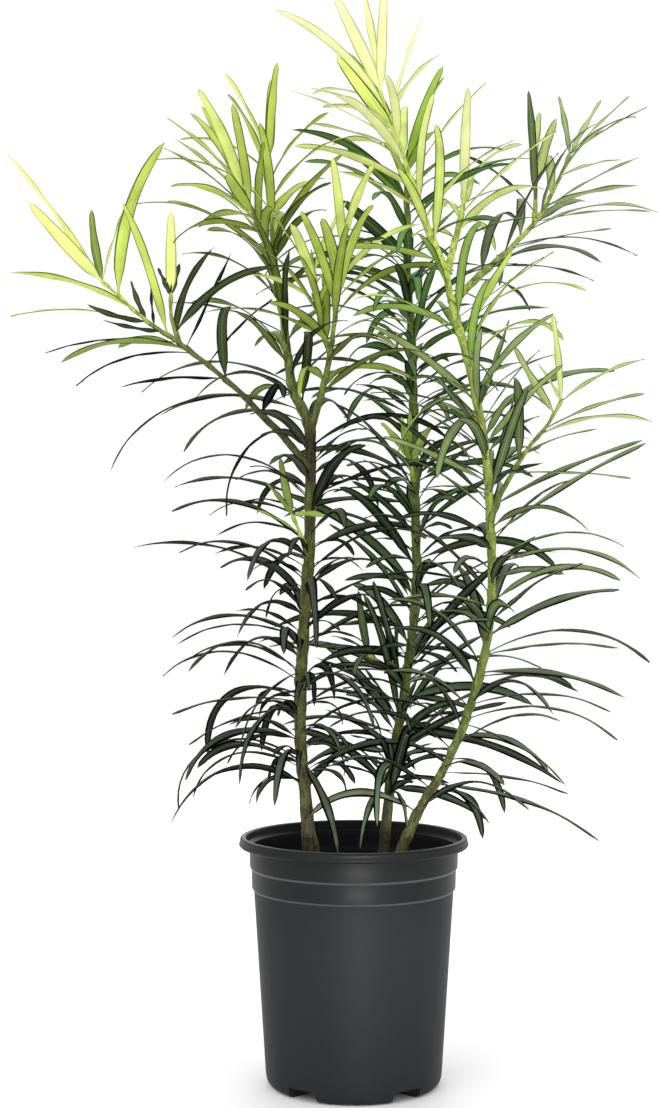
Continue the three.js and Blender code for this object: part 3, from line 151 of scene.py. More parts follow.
# Masses of leaves, as in the solids: on a stem between two heights (on, span), or past a limb's
# tip. Age runs from 0, an old leaf, to 1, one just opened. Hue is the mass's own set of tones.
# Chosen leaves stand at a height on the main shoot, and a fan is the leaves at a shoot's tip.
# Angles are in degrees. A row may leave out its last values, or have None, for the rule's own.
CHOSEN = ["height", "heading", "rise", "droop", "roll", "length", "width", "age", "sweep"]
FAN = CHOSEN[1:]
MASSES = [
    {"name": "left_low_leaves", "on": "trunk_left", "span": [206, 302], "age": [0, 0.08], "seed": 11,
     "step": 6, "droop": 102, "spread": {"roll": 40}, "hue": "coal",
     "chosen": [
         [296, 192, 40, 78, 12, 84, 6.5], [289, 178, 38, 85, 8, 106, 6.5], [274, 186, 10, 36, 5, 90, 6],
         [267, 200, 0, 38, 10, 84, 6], [292, 226, -12, 62, 25, 76, 8], [232, 184, 36, 138, 0, 120, 6.5],
         [226, 172, 30, 112, 0, 96, 6.5], [228, 300, -28, 52, 0, 78, 7.5],
     ]},
    {"name": "left_middle_leaves", "on": "trunk_left", "span": [302, 400], "age": [0.08, 0.16],
     "seed": 12, "step": 5.2, "hue": "coal",
     "sprout": {"height": 384, "heading": 215, "fan": [
         [196, 74, -8, 72, 42, 8], [176, 56, 10, 60, 30, 6], [345, 12, 34, 40, 26, 7],
     ]},
     "chosen": [
         [320, 180, 22, 60, 10, 92, 6], [353, 183, 36, 52, 5, 128, 6], [368, 174, 35, 62, 10, 68, 6],
     ]},
    {"name": "left_high_leaves", "on": "trunk_left", "span": [400, 480], "age": [0.2, 0.3], "seed": 13,
     "hue": "coal",
     "chosen": [[420, 188, 46, 96, 8, 116, 7]]},
    {"name": "left_crown_leaves", "on": "trunk_left", "span": [480, 546], "age": [0.35, 0.5], "seed": 14,
     "tone": -0.8, "hue": "olive"},
    {"name": "middle_low_leaves", "on": "trunk_middle", "span": [200, 320], "age": [0, 0.08], "seed": 25,
     "droop": 46, "spread": {"rise": 32, "roll": 60, "droop": 24}, "hue": "slate",
     "sprout": {"height": 284, "heading": 214, "length": 38, "rise": 35, "age": [0.2, 0.3], "fan": [
         [195, 78, -6, 60, 46, 8], [180, 25, 40, 30, 38, 7], [330, 30, 50, -30, 40, 7],
         [250, 5, 60, 0, 36, 7],
     ]},
     "chosen": [[224, 235, -30, 55, 10, 70, 7.5]]},
    {"name": "middle_middle_leaves", "on": "trunk_middle", "span": [320, 446], "age": [0.08, 0.2],
     "seed": 22, "droop": 52, "spread": {"rise": 26, "roll": 56, "droop": 24}, "hue": "deep",
     "sprout": {"height": 432, "heading": 250}},
    {"name": "middle_high_leaves", "on": "trunk_middle", "span": [446, 608], "age": [0.2, 0.4],
     "seed": 26, "hue": "deep",
     "chosen": [[596, 188, 42, 4, 62, 60, 12]]},
    {"name": "right_low_leaves", "on": "trunk_right", "span": [192, 300], "age": [0, 0.1], "seed": 31,
     "step": 6.5, "droop": 62, "spread": {"rise": 18, "roll": 46}, "fill": False, "hue": "sage",
     "chosen": [
         [292, 352, 10, 44, -10, 70, 7], [272, 4, 16, 46, 0, 100, 7], [256, 350, -14, 40, 8, 84, 7.5],
         [222, 356, 2, 26, 0, 88, 7],
     ]},
    {"name": "right_middle_leaves", "on": "trunk_right", "span": [300, 406], "age": [0.1, 0.2],
     "seed": 32, "step": 5, "droop": 50, "lift": 32, "spread": {"rise": 18, "roll": 46}, "fill": False,
     "tone": 0.7, "hue": "sage",
     "chosen": [
         [392, 356, 38, 16, 20, 124, 8], [374, 8, 34, 66, 5, 100, 7], [309, 3, 28, 74, 0, 124, 8],
     ]},
    {"name": "right_high_leaves", "on": "trunk_right", "span": [406, 504], "age": [0.25, 0.4],
     "seed": 33, "droop": 38, "tone": 0.5, "hue": "sage",
     "chosen": [
         [412, 32, 29, 14, 15, 122, 8, None, -50], [433, 14, 5, 14, 0, 106, 6.5],
         [432, 30, 74, 6, -50, 60, 10], [486, 8, 48, 40, 0, 68, 6], [494, 208, -8, 72, 30, 84, 10],
         [480, 236, -15, 62, -20, 78, 10],
     ]},
    {"name": "right_crown_leaves", "on": "trunk_right", "span": [504, 597], "age": [0.45, 0.6],
     "seed": 39, "tone": 1, "hue": "fresh",
     "chosen": [
         [532, 354, 10, 4, 0, 66, 5], [534, 12, 62, 6, -50, 70, 10], [547, 342, 33, 2, 15, 80, 7],
     ]},
    {"name": "left_bough_leaves", "tip": "left_bough", "age": [0.05, 1], "seed": 15, "step": 17,
     "hue": "bough",
     "through": [[-66, -16, 478], [-79, -20, 492], [-98, -26, 508], [-120, -32, 525],
                 [-145, -38, 542], [-176, -45, 569]],
     "chosen": [
         [527, 186, 8, 30, 0, 94, 5.5, 0.05], [520, 192, 5, 50, 0, 88, 5.5, 0],
         [502, 188, 6, 26, 5, 74, 6, 0], [541, 190, 6, -20, 30, 44, 6, 0.35],
         [534, 194, 6, -8, 30, 42, 6, 0.3], [550, 178, 26, 4, 0, 54, 5.5, 1],
         [542, 176, 64, -10, 60, 30, 6, 0.4], [538, 150, 82, -4, 60, 30, 6, 0.4],
         [529, 350, 86, 46, -50, 72, 7, 0.3], [523, 20, 66, 4, 0, 76, 5.5, 0],
         [512, 8, 56, 24, 10, 66, 6, 0], [558, 352, 90, 40, -62, 114, 12, 0.75],
     ],
     "fan": [
         [184, 56, 6, 40, 108, 7], [202, 43, -4, 66, 72, 12], [200, 76, -12, 66, 50, 8, 0.75],
         [40, 74, 6, -50, 52, 6],
     ],
     "twigs": [
         {"through": [[-123, -33, 527], [-128, -37, 545], [-128, -40, 560]], "age": [0.3, 0.4],
          "fan": [[275, 85, -2, 0, 58, 10, 1], [165, 66, 4, 60, 22, 7], [20, 76, 4, -60, 24, 7]]},
     ]},
    {"name": "left_leader_leaves", "tip": "trunk_left", "age": [0.5, 1], "seed": 16, "tone": -0.7,
     "hue": "olive", "through": [[-54, 1, 568], [-57, 3, 592], [-60, 6, 630], [-61, 8, 668]],
     "twigs": [
         {"through": [[-56, 2, 582], [-66, -6, 607], [-74, -12, 627], [-82, -16, 644]]},
     ]},
    {"name": "left_inner_leaves", "tip": "left_inner_bough", "age": [0.4, 1], "seed": 17, "hue": "olive",
     "through": [[-21.5, -12, 500], [-17.5, -16, 518], [-14, -19, 543], [-10, -22, 573], [-7, -24, 600]],
     "twigs": [
         {"through": [[-17, -17, 520], [-24, -23, 543], [-28, -26, 573], [-30, -28, 592]]},
     ]},
    {"name": "middle_top_leaves", "tip": "trunk_middle", "age": [0.35, 0.75], "seed": 24, "hue": "deep",
     "through": [[39, 18, 632], [38.5, 18, 655], [39, 17, 672]],
     "chosen": [[638, 184, 44, 6, 62, 64, 12]]},
    {"name": "right_leader_leaves", "tip": "trunk_right", "age": [0.6, 1], "seed": 35, "step": 6,
     "hue": "lime",
     "through": [[51, -10, 615], [43, -7, 641], [34, -4, 668], [25, -2, 692], [19, 0, 712]],
     "chosen": [
         [690, 186, 62, 44, 50, 116, 9], [682, 196, 50, 0, 64, 66, 12, 0.7],
         [672, 176, 36, 20, 0, 88, 5], [690, 12, 76, 8, 20, 80, 5],
     ],
     "fan": [[184, 66, 4, 66, 76, 12], [150, 80, 2, 60, 78, 11], [290, 86, 4, 0, 74, 10]]},
    {"name": "right_inner_leaves", "tip": "right_inner_bough", "age": [0.6, 1], "seed": 36, "tone": 0.5,
     "hue": "lime", "through": [[76, -1, 617], [80, 5, 636], [82, 9, 655]]},
    {"name": "right_outer_leaves", "tip": "right_outer_bough", "age": [0.35, 0.9], "seed": 37, "step": 9,
     "tone": -1.1, "hue": "sage",
     "through": [[92, -1, 580], [112, 12, 599], [128, 22, 616], [138, 28, 629], [150, 35, 652],
                 [161, 42, 676]],
     "chosen": [
         [632, 355, 34, 14, 10, 78, 6.5], [622, 340, 10, 20, 0, 86, 5.5], [600, 345, 14, 12, 0, 74, 5.5],
         [585, 352, 6, 34, 0, 76, 5.5],
     ],
     "fan": [
         [20, 60, 4, 30, 50, 7], [350, 46, 6, 20, 60, 7], [170, 82, 6, -50, 44, 7],
         [330, 30, 12, 10, 66, 7],
     ],
     "twigs": [
         {"through": [[133, 25, 622], [134, 32, 648], [132, 36, 668]]},
     ]},
    {"name": "right_side_leaves", "tip": "right_side_bough", "age": [0.4, 0.95], "seed": 38, "step": 24,
     "droop": 34, "tone": -0.5, "hue": "sage",
     "through": [[112, -29, 437], [123, -35, 455], [136, -40, 471], [144, -44, 486]],
     "chosen": [[466, 5, 28, 20, 10, 76, 7], [476, 172, 56, -8, 55, 56, 9]],
     "fan": [[160, 86, 4, 60, 62, 8], [8, 38, 26, 15, 68, 7], [150, 60, 6, 50, 32, 6]]},
]

LEAF = {
    "turn": 137.5, "step": 4.4, "shoot_step": 5.2, "end_margin": 3, "angle": [62, 26],
    "droop": [84, 32], "droop_power": 1.3, "length": [112, 88], "width": [7.8, 9.6], "lift": 38,
    "lift_share": 0.3, "steps": 18, "tries": 12, "shrink": 0.04, "opening": 0.8,
    "opening_shrink": 0.2, "sink": 0.9,
}
SPREAD = {"place": 1.3, "turn": 12, "turn_more": 7, "angle": 9, "rise": 12, "droop": 28, "sweep": 22,
          "roll": 32, "length": 0.18, "width": 0.14}
TUFT = {"leaves": 4, "end": 0.5, "step": 3.5, "turn_spread": 30, "angle": [8, 28], "droop": 14,
        "roll_spread": 80, "length": [62, 94], "length_spread": [0.85, 1.1], "width": 10,
        "width_spread": [0.8, 1.2]}
TIP_MARGIN = 1
SPROUT = {"length": 24, "radius": 1.2, "rise": 62, "sink": 2, "age": [0.9, 1], "leaf_scale": 0.48}
SHOOT = {"tip_radius": 1, "bare": 3, "twig_bare": 8, "twig_share": 0.4, "turn_per_seed": 40,
         "turn_per_twig": 90}
ROOM = {"other_mass": 7.5, "near_roots": 5, "same_mass": 5, "free_root": 18, "limb": 5,
        "own_stem": 2, "pot": 5, "mouth": 61.6, "line_step": 4, "reach": 14}
REACH = {"sideways": 128, "above": 110, "below": 120}
CROWN = {"low": [-250, -150, 154], "high": [217, 150, 792]}
SEEDS = {"mass": 1000, "shoot": 200, "fill": 500, "tuft": 7}

# Smaller leaves that the solids leave out grow between the large ones afterwards, closer by this
# share of the room, and no further out than the large ones reach.
FILL = {"offsets": [0.5], "low_offsets": [0.5, 0.25], "low": 330, "oldest": 0.45,
        "scale": [0.4, 0.7], "low_scale": [0.35, 0.62], "room": 0.5, "tries": 8}

# ---------- small maths ----------

MASK = 0xFFFFFFFF


def lerp(a, b, t):
    return a + (b - a) * t


def unit(v):
    return v / np.linalg.norm(v)


def random_stream(seed):
    """A seeded stream of numbers from 0 to 1."""
    state = seed & MASK

    def draw():
        nonlocal state
        state = (state + 0x6D2B79F5) & MASK
        t = state
        t = ((t ^ (t >> 15)) * (t | 1)) & MASK
        t ^= (t + (((t ^ (t >> 7)) * (t | 61)) & MASK)) & MASK
        return ((t ^ (t >> 14)) & MASK) / 4294967296

    return draw


def along(values, t):
    """Values that a list gives at even steps, at share t of the way along it."""
    return np.interp(t, np.linspace(0, 1, len(values)), values)


def smooth(low, high, value):
    """0 below low, 1 above high, and an even turn between."""
    t = np.clip((value - low) / (high - low), 0, 1)
    return t * t * (3 - 2 * t)


def value_noise(points, size, seed):
    """Smooth noise from -1 to 1 at points, with lumps about as large as size."""
    cell = points / size + 0.137 * seed
    low = np.floor(cell).astype(np.int64)
    part = cell - low
    part = part * part * (3 - 2 * part)
    total = np.zeros(len(points))
    for corner in itertools.product((0, 1), repeat=3):
        at = low + np.array(corner)
        mixed = (at[:, 0] * 73856093) ^ (at[:, 1] * 19349663) ^ (at[:, 2] * 83492791) ^ (seed * 7919)
        mixed = ((mixed ^ (mixed >> 13)) * 1274126177) & MASK
        value = ((mixed ^ (mixed >> 15)) & 0xFFFF) / 32767.5 - 1
        total += np.prod(np.where(corner, part, 1 - part), axis=1) * value
    return total


def catmull_rom(through):
    """Even samples of the centripetal Catmull-Rom curve through some points."""
    points = np.array(through, float)
    padded = np.vstack([2 * points[0] - points[1], points, 2 * points[-1] - points[-2]])
    samples = [points[0]]
    for i in range(len(points) - 1):
        p0, p1, p2, p3 = padded[i:i + 4]
        d0, d1, d2 = (np.linalg.norm(b - a) ** 0.5 for a, b in ((p0, p1), (p1, p2), (p2, p3)))
        t1 = ((p1 - p0) / d0 - (p2 - p0) / (d0 + d1) + (p2 - p1) / d1) * d1
        t2 = ((p2 - p1) / d1 - (p3 - p1) / (d1 + d2) + (p3 - p2) / d2) * d1
        for k in range(1, LINE_SAMPLES + 1):
            t = k / LINE_SAMPLES
            square = -3 * p1 + 3 * p2 - 2 * t1 - t2
            cube = 2 * p1 - 2 * p2 + t1 + t2
            samples.append(p1 + t1 * t + square * t ** 2 + cube * t ** 3)
    return np.array(samples)


class Line:
    """A smooth line through some points, measured by the length along it."""

    def __init__(self, through):
        self.points = catmull_rom(through)
        pieces = np.linalg.norm(np.diff(self.points, axis=0), axis=1)
        self.lengths = np.concatenate([[0], np.cumsum(pieces)])
        self.total = self.lengths[-1]

    def stand(self, distance):
        """Place, direction and two sideways directions at a distance along the line."""
        i = int(np.clip(np.searchsorted(self.lengths, distance), 1, len(self.points) - 1))
        span = self.lengths[i] - self.lengths[i - 1]
        share = (distance - self.lengths[i - 1]) / span
        place = lerp(self.points[i - 1], self.points[i], share)
        ahead = unit(self.points[i] - self.points[i - 1])
        back = np.array([0.0, 1.0, 0.0])
        back = unit(back - back.dot(ahead) * ahead)
        return place, ahead, back, np.cross(back, ahead)

    def distance_at(self, height):
        """How far along a rising line its height is first reached."""
        reached = np.nonzero(self.points[:, 2] >= height)[0]
        return self.lengths[reached[0]] if len(reached) else self.total


def even_steps(start, end, step):
    count = max(1, math.floor((end - start) / step + 0.5))
    return np.linspace(start, end, count + 1)


# ---------- the growing rule ----------


class Neighbours:
    """Rows of what has grown: a point, its radius, its owner's number, and 1 if near a root."""

    def __init__(self, most=60000):
        self.rows = np.zeros((most, 6))
        self.count = 0
        self.names = {}

    def number(self, name):
        return self.names.setdefault(name, len(self.names))

    def add(self, points, owner, radii, near):
        rows = self.rows[self.count:self.count + len(points)]
        rows[:, :3] = points
        rows[:, 3] = radii
        rows[:, 4] = self.number(owner)
        rows[:, 5] = near
        self.count += len(points)

    def around(self, points):
        """The rows that lie close enough to matter to any of the points."""
        low = points.min(0) - ROOM["reach"]
        high = points.max(0) + ROOM["reach"]
        places = self.rows[:self.count, :3]
        return self.rows[:self.count][np.all((places > low) & (places < high), axis=1)]


def leaf_angles(leaf, t):
    """A leaf's rise and heading at share t of its length: it turns down towards its tip."""
    rise = np.radians(leaf["rise"] - leaf["droop"] * t ** LEAF["droop_power"])
    heading = np.radians(leaf["heading"] + leaf["sweep"] * t)
    return rise, heading


def direction(rise, heading):
    flat = np.cos(rise)
    return np.stack([flat * np.cos(heading), flat * np.sin(heading), np.sin(rise)], axis=-1)


def leaf_line(leaf):
    rise, heading = leaf_angles(leaf, (np.arange(LEAF["steps"]) + 0.5) / LEAF["steps"])
    pieces = direction(rise, heading) * leaf["length"] / LEAF["steps"]
    return leaf["root"] + np.vstack([np.zeros(3), np.cumsum(pieces, axis=0)])


def over_pot(points):
    """Whether points stay above the soil and clear of the rim."""
    from_axis = np.hypot(points[:, 0], points[:, 1])
    at_rim = (from_axis > ROOM["mouth"]) & (from_axis < POT["brim"] + ROOM["pot"])
    return np.all(points[:, 2] >= np.where(at_rim, POT["rim_height"], SOIL_LEVEL) + ROOM["pot"])


def keep_if_fits(leaf, mass, grown, share=1.0):
    """Keeps a leaf that stays in its mass's space, over the pot and clear of the rest."""
    leaf["points"] = leaf_line(leaf)
    near_root = np.arange(LEAF["steps"] + 1) * leaf["length"] / LEAF["steps"] < ROOM["free_root"]
    points, free = leaf["points"][1:], near_root[1:, None]
    if np.any(points < mass["low"]) or np.any(points > mass["high"]) or not over_pot(points):
        return False
    close = grown.around(points)
    radii, owners, near = close[:, 3], close[:, 4], close[:, 5] > 0
    own = (owners == grown.number(mass["name"])) | (owners == grown.number(mass["carrier"]))
    room = np.where(free & near, ROOM["near_roots"], ROOM["other_mass"]) * share
    room = np.where(own, ROOM["same_mass"] * share, room)
    room = np.where(radii > 0, radii + np.where(own, ROOM["own_stem"], ROOM["limb"]), room)
    room = np.where(own & (free | near), 0, room)
    if np.any(np.linalg.norm(points[:, None] - close[None, :, :3], axis=2) < room):
        return False
    grown.add(leaf["points"], mass["name"], 0, near_root)
    return True


def age_at(shoot, distance):
    return lerp(*shoot["age"], (distance - shoot["from"]) / (shoot["to"] - shoot["from"]))


def rooted(shoot, distance, place, out, turn):
    """A leaf's root: on a free shoot's line, or in the bark of a stem."""
    depth = 0 if shoot["free"] else shoot["radius_at"](distance) - LEAF["sink"]
    return {"shoot": shoot, "distance": distance, "root": place + out * depth, "turn": turn,
            "sweep": 0}


def aim_leaf(shoot, distance, turn, angle):
    """A leaf at a turn round its shoot and an angle from the shoot's own direction."""
    place, ahead, back, right = shoot["line"].stand(distance)
    out = right * math.cos(turn) + back * math.sin(turn)
    way = ahead * math.cos(angle) + out * math.sin(angle)
    return {**rooted(shoot, distance, place, out, turn),
            "heading": math.degrees(math.atan2(way[1], way[0])),
            "rise": math.degrees(math.asin(way[2]))}


def grow_leaf(shoot, distance, order, mass, grown, fill=0):
    """One leaf of the spiral, tried with a little more freedom each time until it fits."""
    seed = SEEDS["mass"] * mass["seed"] + SEEDS["shoot"] * shoot["order"] + order + SEEDS["fill"] * fill
    draw = random_stream(seed)

    def spread(amount):
        return (draw() * 2 - 1) * amount

    limits = {**SPREAD, **mass.get("spread", {})}
    place = distance + spread(limits["place"])
    age = age_at(shoot, place)
    opening = max(0, (age - LEAF["opening"]) / (1 - LEAF["opening"]))
    fill_scale = FILL["low_scale"] if is_low(mass) else FILL["scale"]
    scale = shoot["leaf_scale"] * (lerp(*fill_scale, draw()) if fill else 1)
    for attempt in range(FILL["tries"] if fill else LEAF["tries"]):
        turn_spread = limits["turn"] + limits["turn_more"] * attempt
        turn = math.radians(LEAF["turn"] * order + shoot["turn"] + spread(turn_spread))
        angle = math.radians(lerp(*LEAF["angle"], age) + spread(limits["angle"]))
        leaf = aim_leaf(shoot, place, turn, angle)
        lift = mass.get("lift", LEAF["lift"])
        leaf["rise"] = lerp(leaf["rise"], lift, LEAF["lift_share"]) + spread(limits["rise"])
        leaf["droop"] = mass.get("droop", lerp(*LEAF["droop"], age)) + spread(limits["droop"])
        leaf["sweep"] = spread(limits["sweep"])
        leaf["roll"] = spread(limits["roll"])
        size = (1 - LEAF["opening_shrink"] * opening) * (1 - LEAF["shrink"] * attempt)
        leaf["length"] = lerp(*LEAF["length"], age) * scale * size * (1 + spread(limits["length"]))
        width = lerp(*LEAF["width"], age) * math.sqrt(scale)
        leaf["width"] = width * (1 + spread(limits["width"]))
        leaf["age"] = age
        if keep_if_fits(leaf, mass, grown, FILL["room"] if fill else 1):
            return [leaf]
    return []


def grow_chosen(mass, shoot, grown):
    """Leaves with a heading and rise of their own, at a height or, without one, at the tip."""
    line = shoot["line"]
    leaves = []
    for entry in shoot["chosen"]:
        distance = line.distance_at(entry["height"]) if "height" in entry else line.total - TIP_MARGIN
        place, _, back, right = line.stand(distance)
        out = direction(0, math.radians(entry["heading"]))
        leaf = {**rooted(shoot, distance, place, out, math.atan2(out.dot(back), out.dot(right))),
                "age": min(max(age_at(shoot, distance), 0), 1), **entry}
        if keep_if_fits(leaf, mass, grown):
            leaves.append(leaf)
    return leaves


def grow_tuft(mass, shoot, grown):
    """The new leaves at the tip of a shoot that has no fan."""
    draw = random_stream(SEEDS["tuft"] + SEEDS["mass"] * mass["seed"] + shoot["order"])
    leaves = []
    for i in range(TUFT["leaves"]):
        share = i / (TUFT["leaves"] - 1)
        distance = shoot["line"].total - TUFT["end"] - i * TUFT["step"]
        turn = math.radians(LEAF["turn"] * i + shoot["turn"] + TUFT["turn_spread"] * draw())
        leaf = aim_leaf(shoot, distance, turn, math.radians(lerp(*TUFT["angle"], share)))
        leaf["droop"] = TUFT["droop"] * (1 + draw())
        leaf["roll"] = TUFT["roll_spread"] * (draw() - 0.5)
        length = lerp(*TUFT["length"], share) * shoot["leaf_scale"]
        leaf["length"] = length * lerp(*TUFT["length_spread"], draw())
        width = TUFT["width"] * math.sqrt(shoot["leaf_scale"])
        leaf["width"] = width * lerp(*TUFT["width_spread"], draw())
        leaf["age"] = shoot["age"][1]
        if keep_if_fits(leaf, mass, grown):
            leaves.append(leaf)
    return leaves


def is_low(mass):
    return mass["places"][:, 2].max() < FILL["low"]


def grow_spiral(shoot, mass, grown, offset=0, fill=0):
    """The leaves at even steps along a shoot, or small ones at an offset between them."""
    step = mass.get("step", LEAF["shoot_step"] if shoot["free"] else LEAF["step"])
    count = math.floor((shoot["to"] - shoot["from"]) / step) + (0 if fill else 1)
    leaves = []
    for order in range(count):
        leaves += grow_leaf(shoot, shoot["from"] + (order + offset) * step, order, mass, grown, fill)
    return leaves


def grow_fill(mass, grown, all_leaves):
    """Small leaves between a mass's own, within the reach of what has grown."""
    own = np.concatenate([leaf["points"] for leaf in mass["leaves"]])
    space = {**mass, "low": np.maximum(own.min(0), all_leaves.min(0)),
             "high": np.minimum(own.max(0), all_leaves.max(0))}
    offsets = FILL["low_offsets"] if is_low(mass) else FILL["offsets"]
    leaves = []
    for shoot in mass["shoots"]:
        if mass.get("fill", True) and not shoot["free"] and mass["age"][1] < FILL["oldest"]:
            for number, offset in enumerate(offsets):
                leaves += grow_spiral(shoot, space, grown, offset, number + 1)
    return leaves


def leaf_entries(rows, keys):
    return [{key: value for key, value in zip(keys, row) if value is not None} for row in rows]


def make_shoot(line, radius_at, span, order, seed, spec, free=True):
    """A shoot that bears leaves between two distances, with the leaves chosen for it."""
    fan = leaf_entries(spec.get("fan", []), FAN)
    return {
        "line": line, "radius_at": radius_at, "from": span[0], "to": span[1], "order": order,
        "turn": SHOOT["turn_per_seed"] * seed + SHOOT["turn_per_twig"] * order,
        "age": spec["age"], "leaf_scale": spec.get("leaf_scale", 1), "free": free,
        "chosen": leaf_entries(spec.get("chosen", []), CHOSEN) + fan, "tufted": free and not fan,
    }


def sleeve_shoot(mass, limb):
    """A mass round a stem: its shoot is the stem's own line between two heights."""
    first, last = (limb["line"].distance_at(height) for height in mass["span"])
    span = [first + LEAF["end_margin"], last - SLEEVE_BREAK - LEAF["end_margin"]]
    return make_shoot(limb["line"], lambda d: limb["radius_at"](d) + SLEEVE, span, 0, mass["seed"],
                      mass, free=False)


def free_shoot(through, radius, order, seed, spec):
    line = Line(through)
    span = [SHOOT["bare"] if order == 0 else SHOOT["twig_bare"],
            line.total - TUFT["leaves"] * TUFT["step"]]
    return make_shoot(line, lambda d: lerp(radius, SHOOT["tip_radius"], d / line.total), span, order,
                      seed, spec)


def sprout_shoot(mass, sleeve):
    """A short new shoot from the side of a stem."""
    sprout = {**SPROUT, **mass["sprout"]}
    place = sleeve["line"].stand(sleeve["line"].distance_at(sprout["height"]))[0]
    heading = math.radians(sprout["heading"])
    foot = place + direction(0, heading) * (sleeve["radius_at"](0) - sprout["sink"])
    tip = foot + sprout["length"] * direction(math.radians(sprout["rise"]), heading)
    return free_shoot([foot, tip], sprout["radius"], 1, mass["seed"], sprout)


def tip_shoots(mass, limb):
    """A mass past a limb's tip: a main shoot, then its side twigs."""
    place, ahead, _, _ = limb["line"].stand(limb["line"].total)
    radius = limb["radius_at"](limb["line"].total)
    twig_radius = lerp(radius, SHOOT["tip_radius"], SHOOT["twig_share"])
    twig_age = [lerp(*mass["age"], SHOOT["twig_share"]), mass["age"][1]]
    main = free_shoot([place + GAP * ahead, *mass["through"]], radius, 0, mass["seed"], mass)
    twigs = [free_shoot(twig["through"], twig_radius, i + 1, mass["seed"], {"age": twig_age, **twig})
             for i, twig in enumerate(mass.get("twigs", []))]
    return [main, *twigs]


def prepare_limb(spec):
    line = Line(spec["through"])
    return {**spec, "line": line, "radius_at": lambda d: along(spec["radii"], d / line.total)}


def prepare_mass(mass, limbs):
    """The shoots of a mass, and the space that it keeps to."""
    carrier = mass.get("on") or mass["tip"]
    limb = limbs[carrier]
    shoots = [sleeve_shoot(mass, limb)] if "on" in mass else tip_shoots(mass, limb)
    if "sprout" in mass:
        shoots.append(sprout_shoot(mass, shoots[0]))
    places = np.array([shoot["line"].stand(shoot[end])[0] for shoot in shoots for end in ("from", "to")])
    side = REACH["sideways"]
    low = places.min(0) - [side, side, REACH["below"]]
    high = places.max(0) + [side, side, REACH["above"]]
    return {**mass, "carrier": carrier, "shoots": shoots, "places": places,
            "low": np.maximum(low, CROWN["low"]), "high": np.minimum(high, CROWN["high"])}


def record_line(grown, owner, line, radius_at):
    distances = even_steps(0, line.total, ROOM["line_step"])
    places = np.array([line.stand(d)[0] for d in distances])
    grown.add(places, owner, np.array([radius_at(d) for d in distances]), False)


def grow_plant():
    """All limbs and masses, with their leaves."""
    limbs = {name: prepare_limb(spec) for name, spec in LIMBS.items()}
    grown = Neighbours()
    for name, limb in limbs.items():
        record_line(grown, name, limb["line"], lambda d, limb=limb: limb["radius_at"](d) + SLEEVE)
    masses = [prepare_mass(mass, limbs) for mass in MASSES]
    for mass in masses:
        for shoot in mass["shoots"]:
            if shoot["free"]:
                record_line(grown, mass["name"], shoot["line"], shoot["radius_at"])
    for mass in masses:
        mass["leaves"] = [leaf for shoot in mass["shoots"] for leaf in grow_chosen(mass, shoot, grown)]
    for mass in masses:
        for shoot in mass["shoots"]:
            mass["leaves"] += grow_tuft(mass, shoot, grown) if shoot["tufted"] else []
        for shoot in mass["shoots"]:
            mass["leaves"] += grow_spiral(shoot, mass, grown)
    large = np.concatenate([leaf["points"] for mass in masses for leaf in mass["leaves"]])
    for mass in masses:
        mass["leaves"] += grow_fill(mass, grown, large)
    return limbs, masses


# ---------- objects and meshes ----------


def add_object(name, data, place=(0, 0, 0), target=None):
    """An object in the scene, turned so that it looks at its target, if it has one."""
    obj = bpy.data.objects.new(name, data)
    obj.location = place
    if target:
        x, y, z = np.subtract(target, place)
        obj.rotation_euler = (math.atan2(math.hypot(x, y), -z), 0, math.atan2(-x, y))
    bpy.context.scene.collection.objects.link(obj)
    return obj


def level_rings(radii, heights, sides):
    """Rings of points round the axis, as an array (ring, place round it, xyz)."""
    turn = np.arange(sides) * 2 * math.pi / sides
    radii = np.asarray(radii, float)[:, None]
    heights = np.broadcast_to(np.asarray(heights, float)[:, None], (len(radii), sides))
    return np.stack([radii * np.cos(turn), radii * np.sin(turn), heights], axis=-1)


def ring_faces(rings, sides):
    """Faces between rings of points that close on themselves, as rows of four corners."""
    k, i = np.meshgrid(np.arange(rings - 1), np.arange(sides), indexing="ij")
    j = (i + 1) % sides
    quads = np.stack([k * sides + i, k * sides + j, (k + 1) * sides + j, (k + 1) * sides + i], axis=-1)
    return quads.reshape(-1, 4)


class Builder:
    """Gathers points and faces, each face with the number of its material."""

    def __init__(self):
        self.points = []
        self.faces = []
        self.slots = []
        self.count = 0

    def add(self, points, faces, slots):
        self.points.append(np.asarray(points, float))
        self.faces += [tuple(int(i) + self.count for i in face) for face in faces]
        self.slots += list(slots)
        self.count += len(points)

    def add_tube(self, rings, slots=None, ends=(0, 0)):
        """A closed tube through an array of rings (ring, place round it, xyz)."""
        count, sides = rings.shape[:2]
        faces = ring_faces(count, sides)
        last = (count - 1) * sides
        caps = [range(sides - 1, -1, -1), range(last, last + sides)]
        slots = np.zeros(len(faces), int) if slots is None else slots
        self.add(rings.reshape(-1, 3), [*faces, *caps], [*slots, *ends])

    def build(self, name, materials=(), sharp=50):
        mesh = bpy.data.meshes.new(name)
        mesh.from_pydata((np.concatenate(self.points) * MM).tolist(), [], self.faces)
        for material in materials:
            mesh.materials.append(material)
        mesh.polygons.foreach_set("material_index", self.slots)
        mesh.polygons.foreach_set("use_smooth", [True] * len(self.faces))
        mesh.set_sharp_from_angle(angle=math.radians(sharp))
        return add_object(name, mesh)


def tube(name, rings, materials=(), sharp=50):
    """An object that is one closed tube through rings of points."""
    builder = Builder()
    builder.add_tube(rings)
    return builder.build(name, materials, sharp)


# ---------- materials ----------

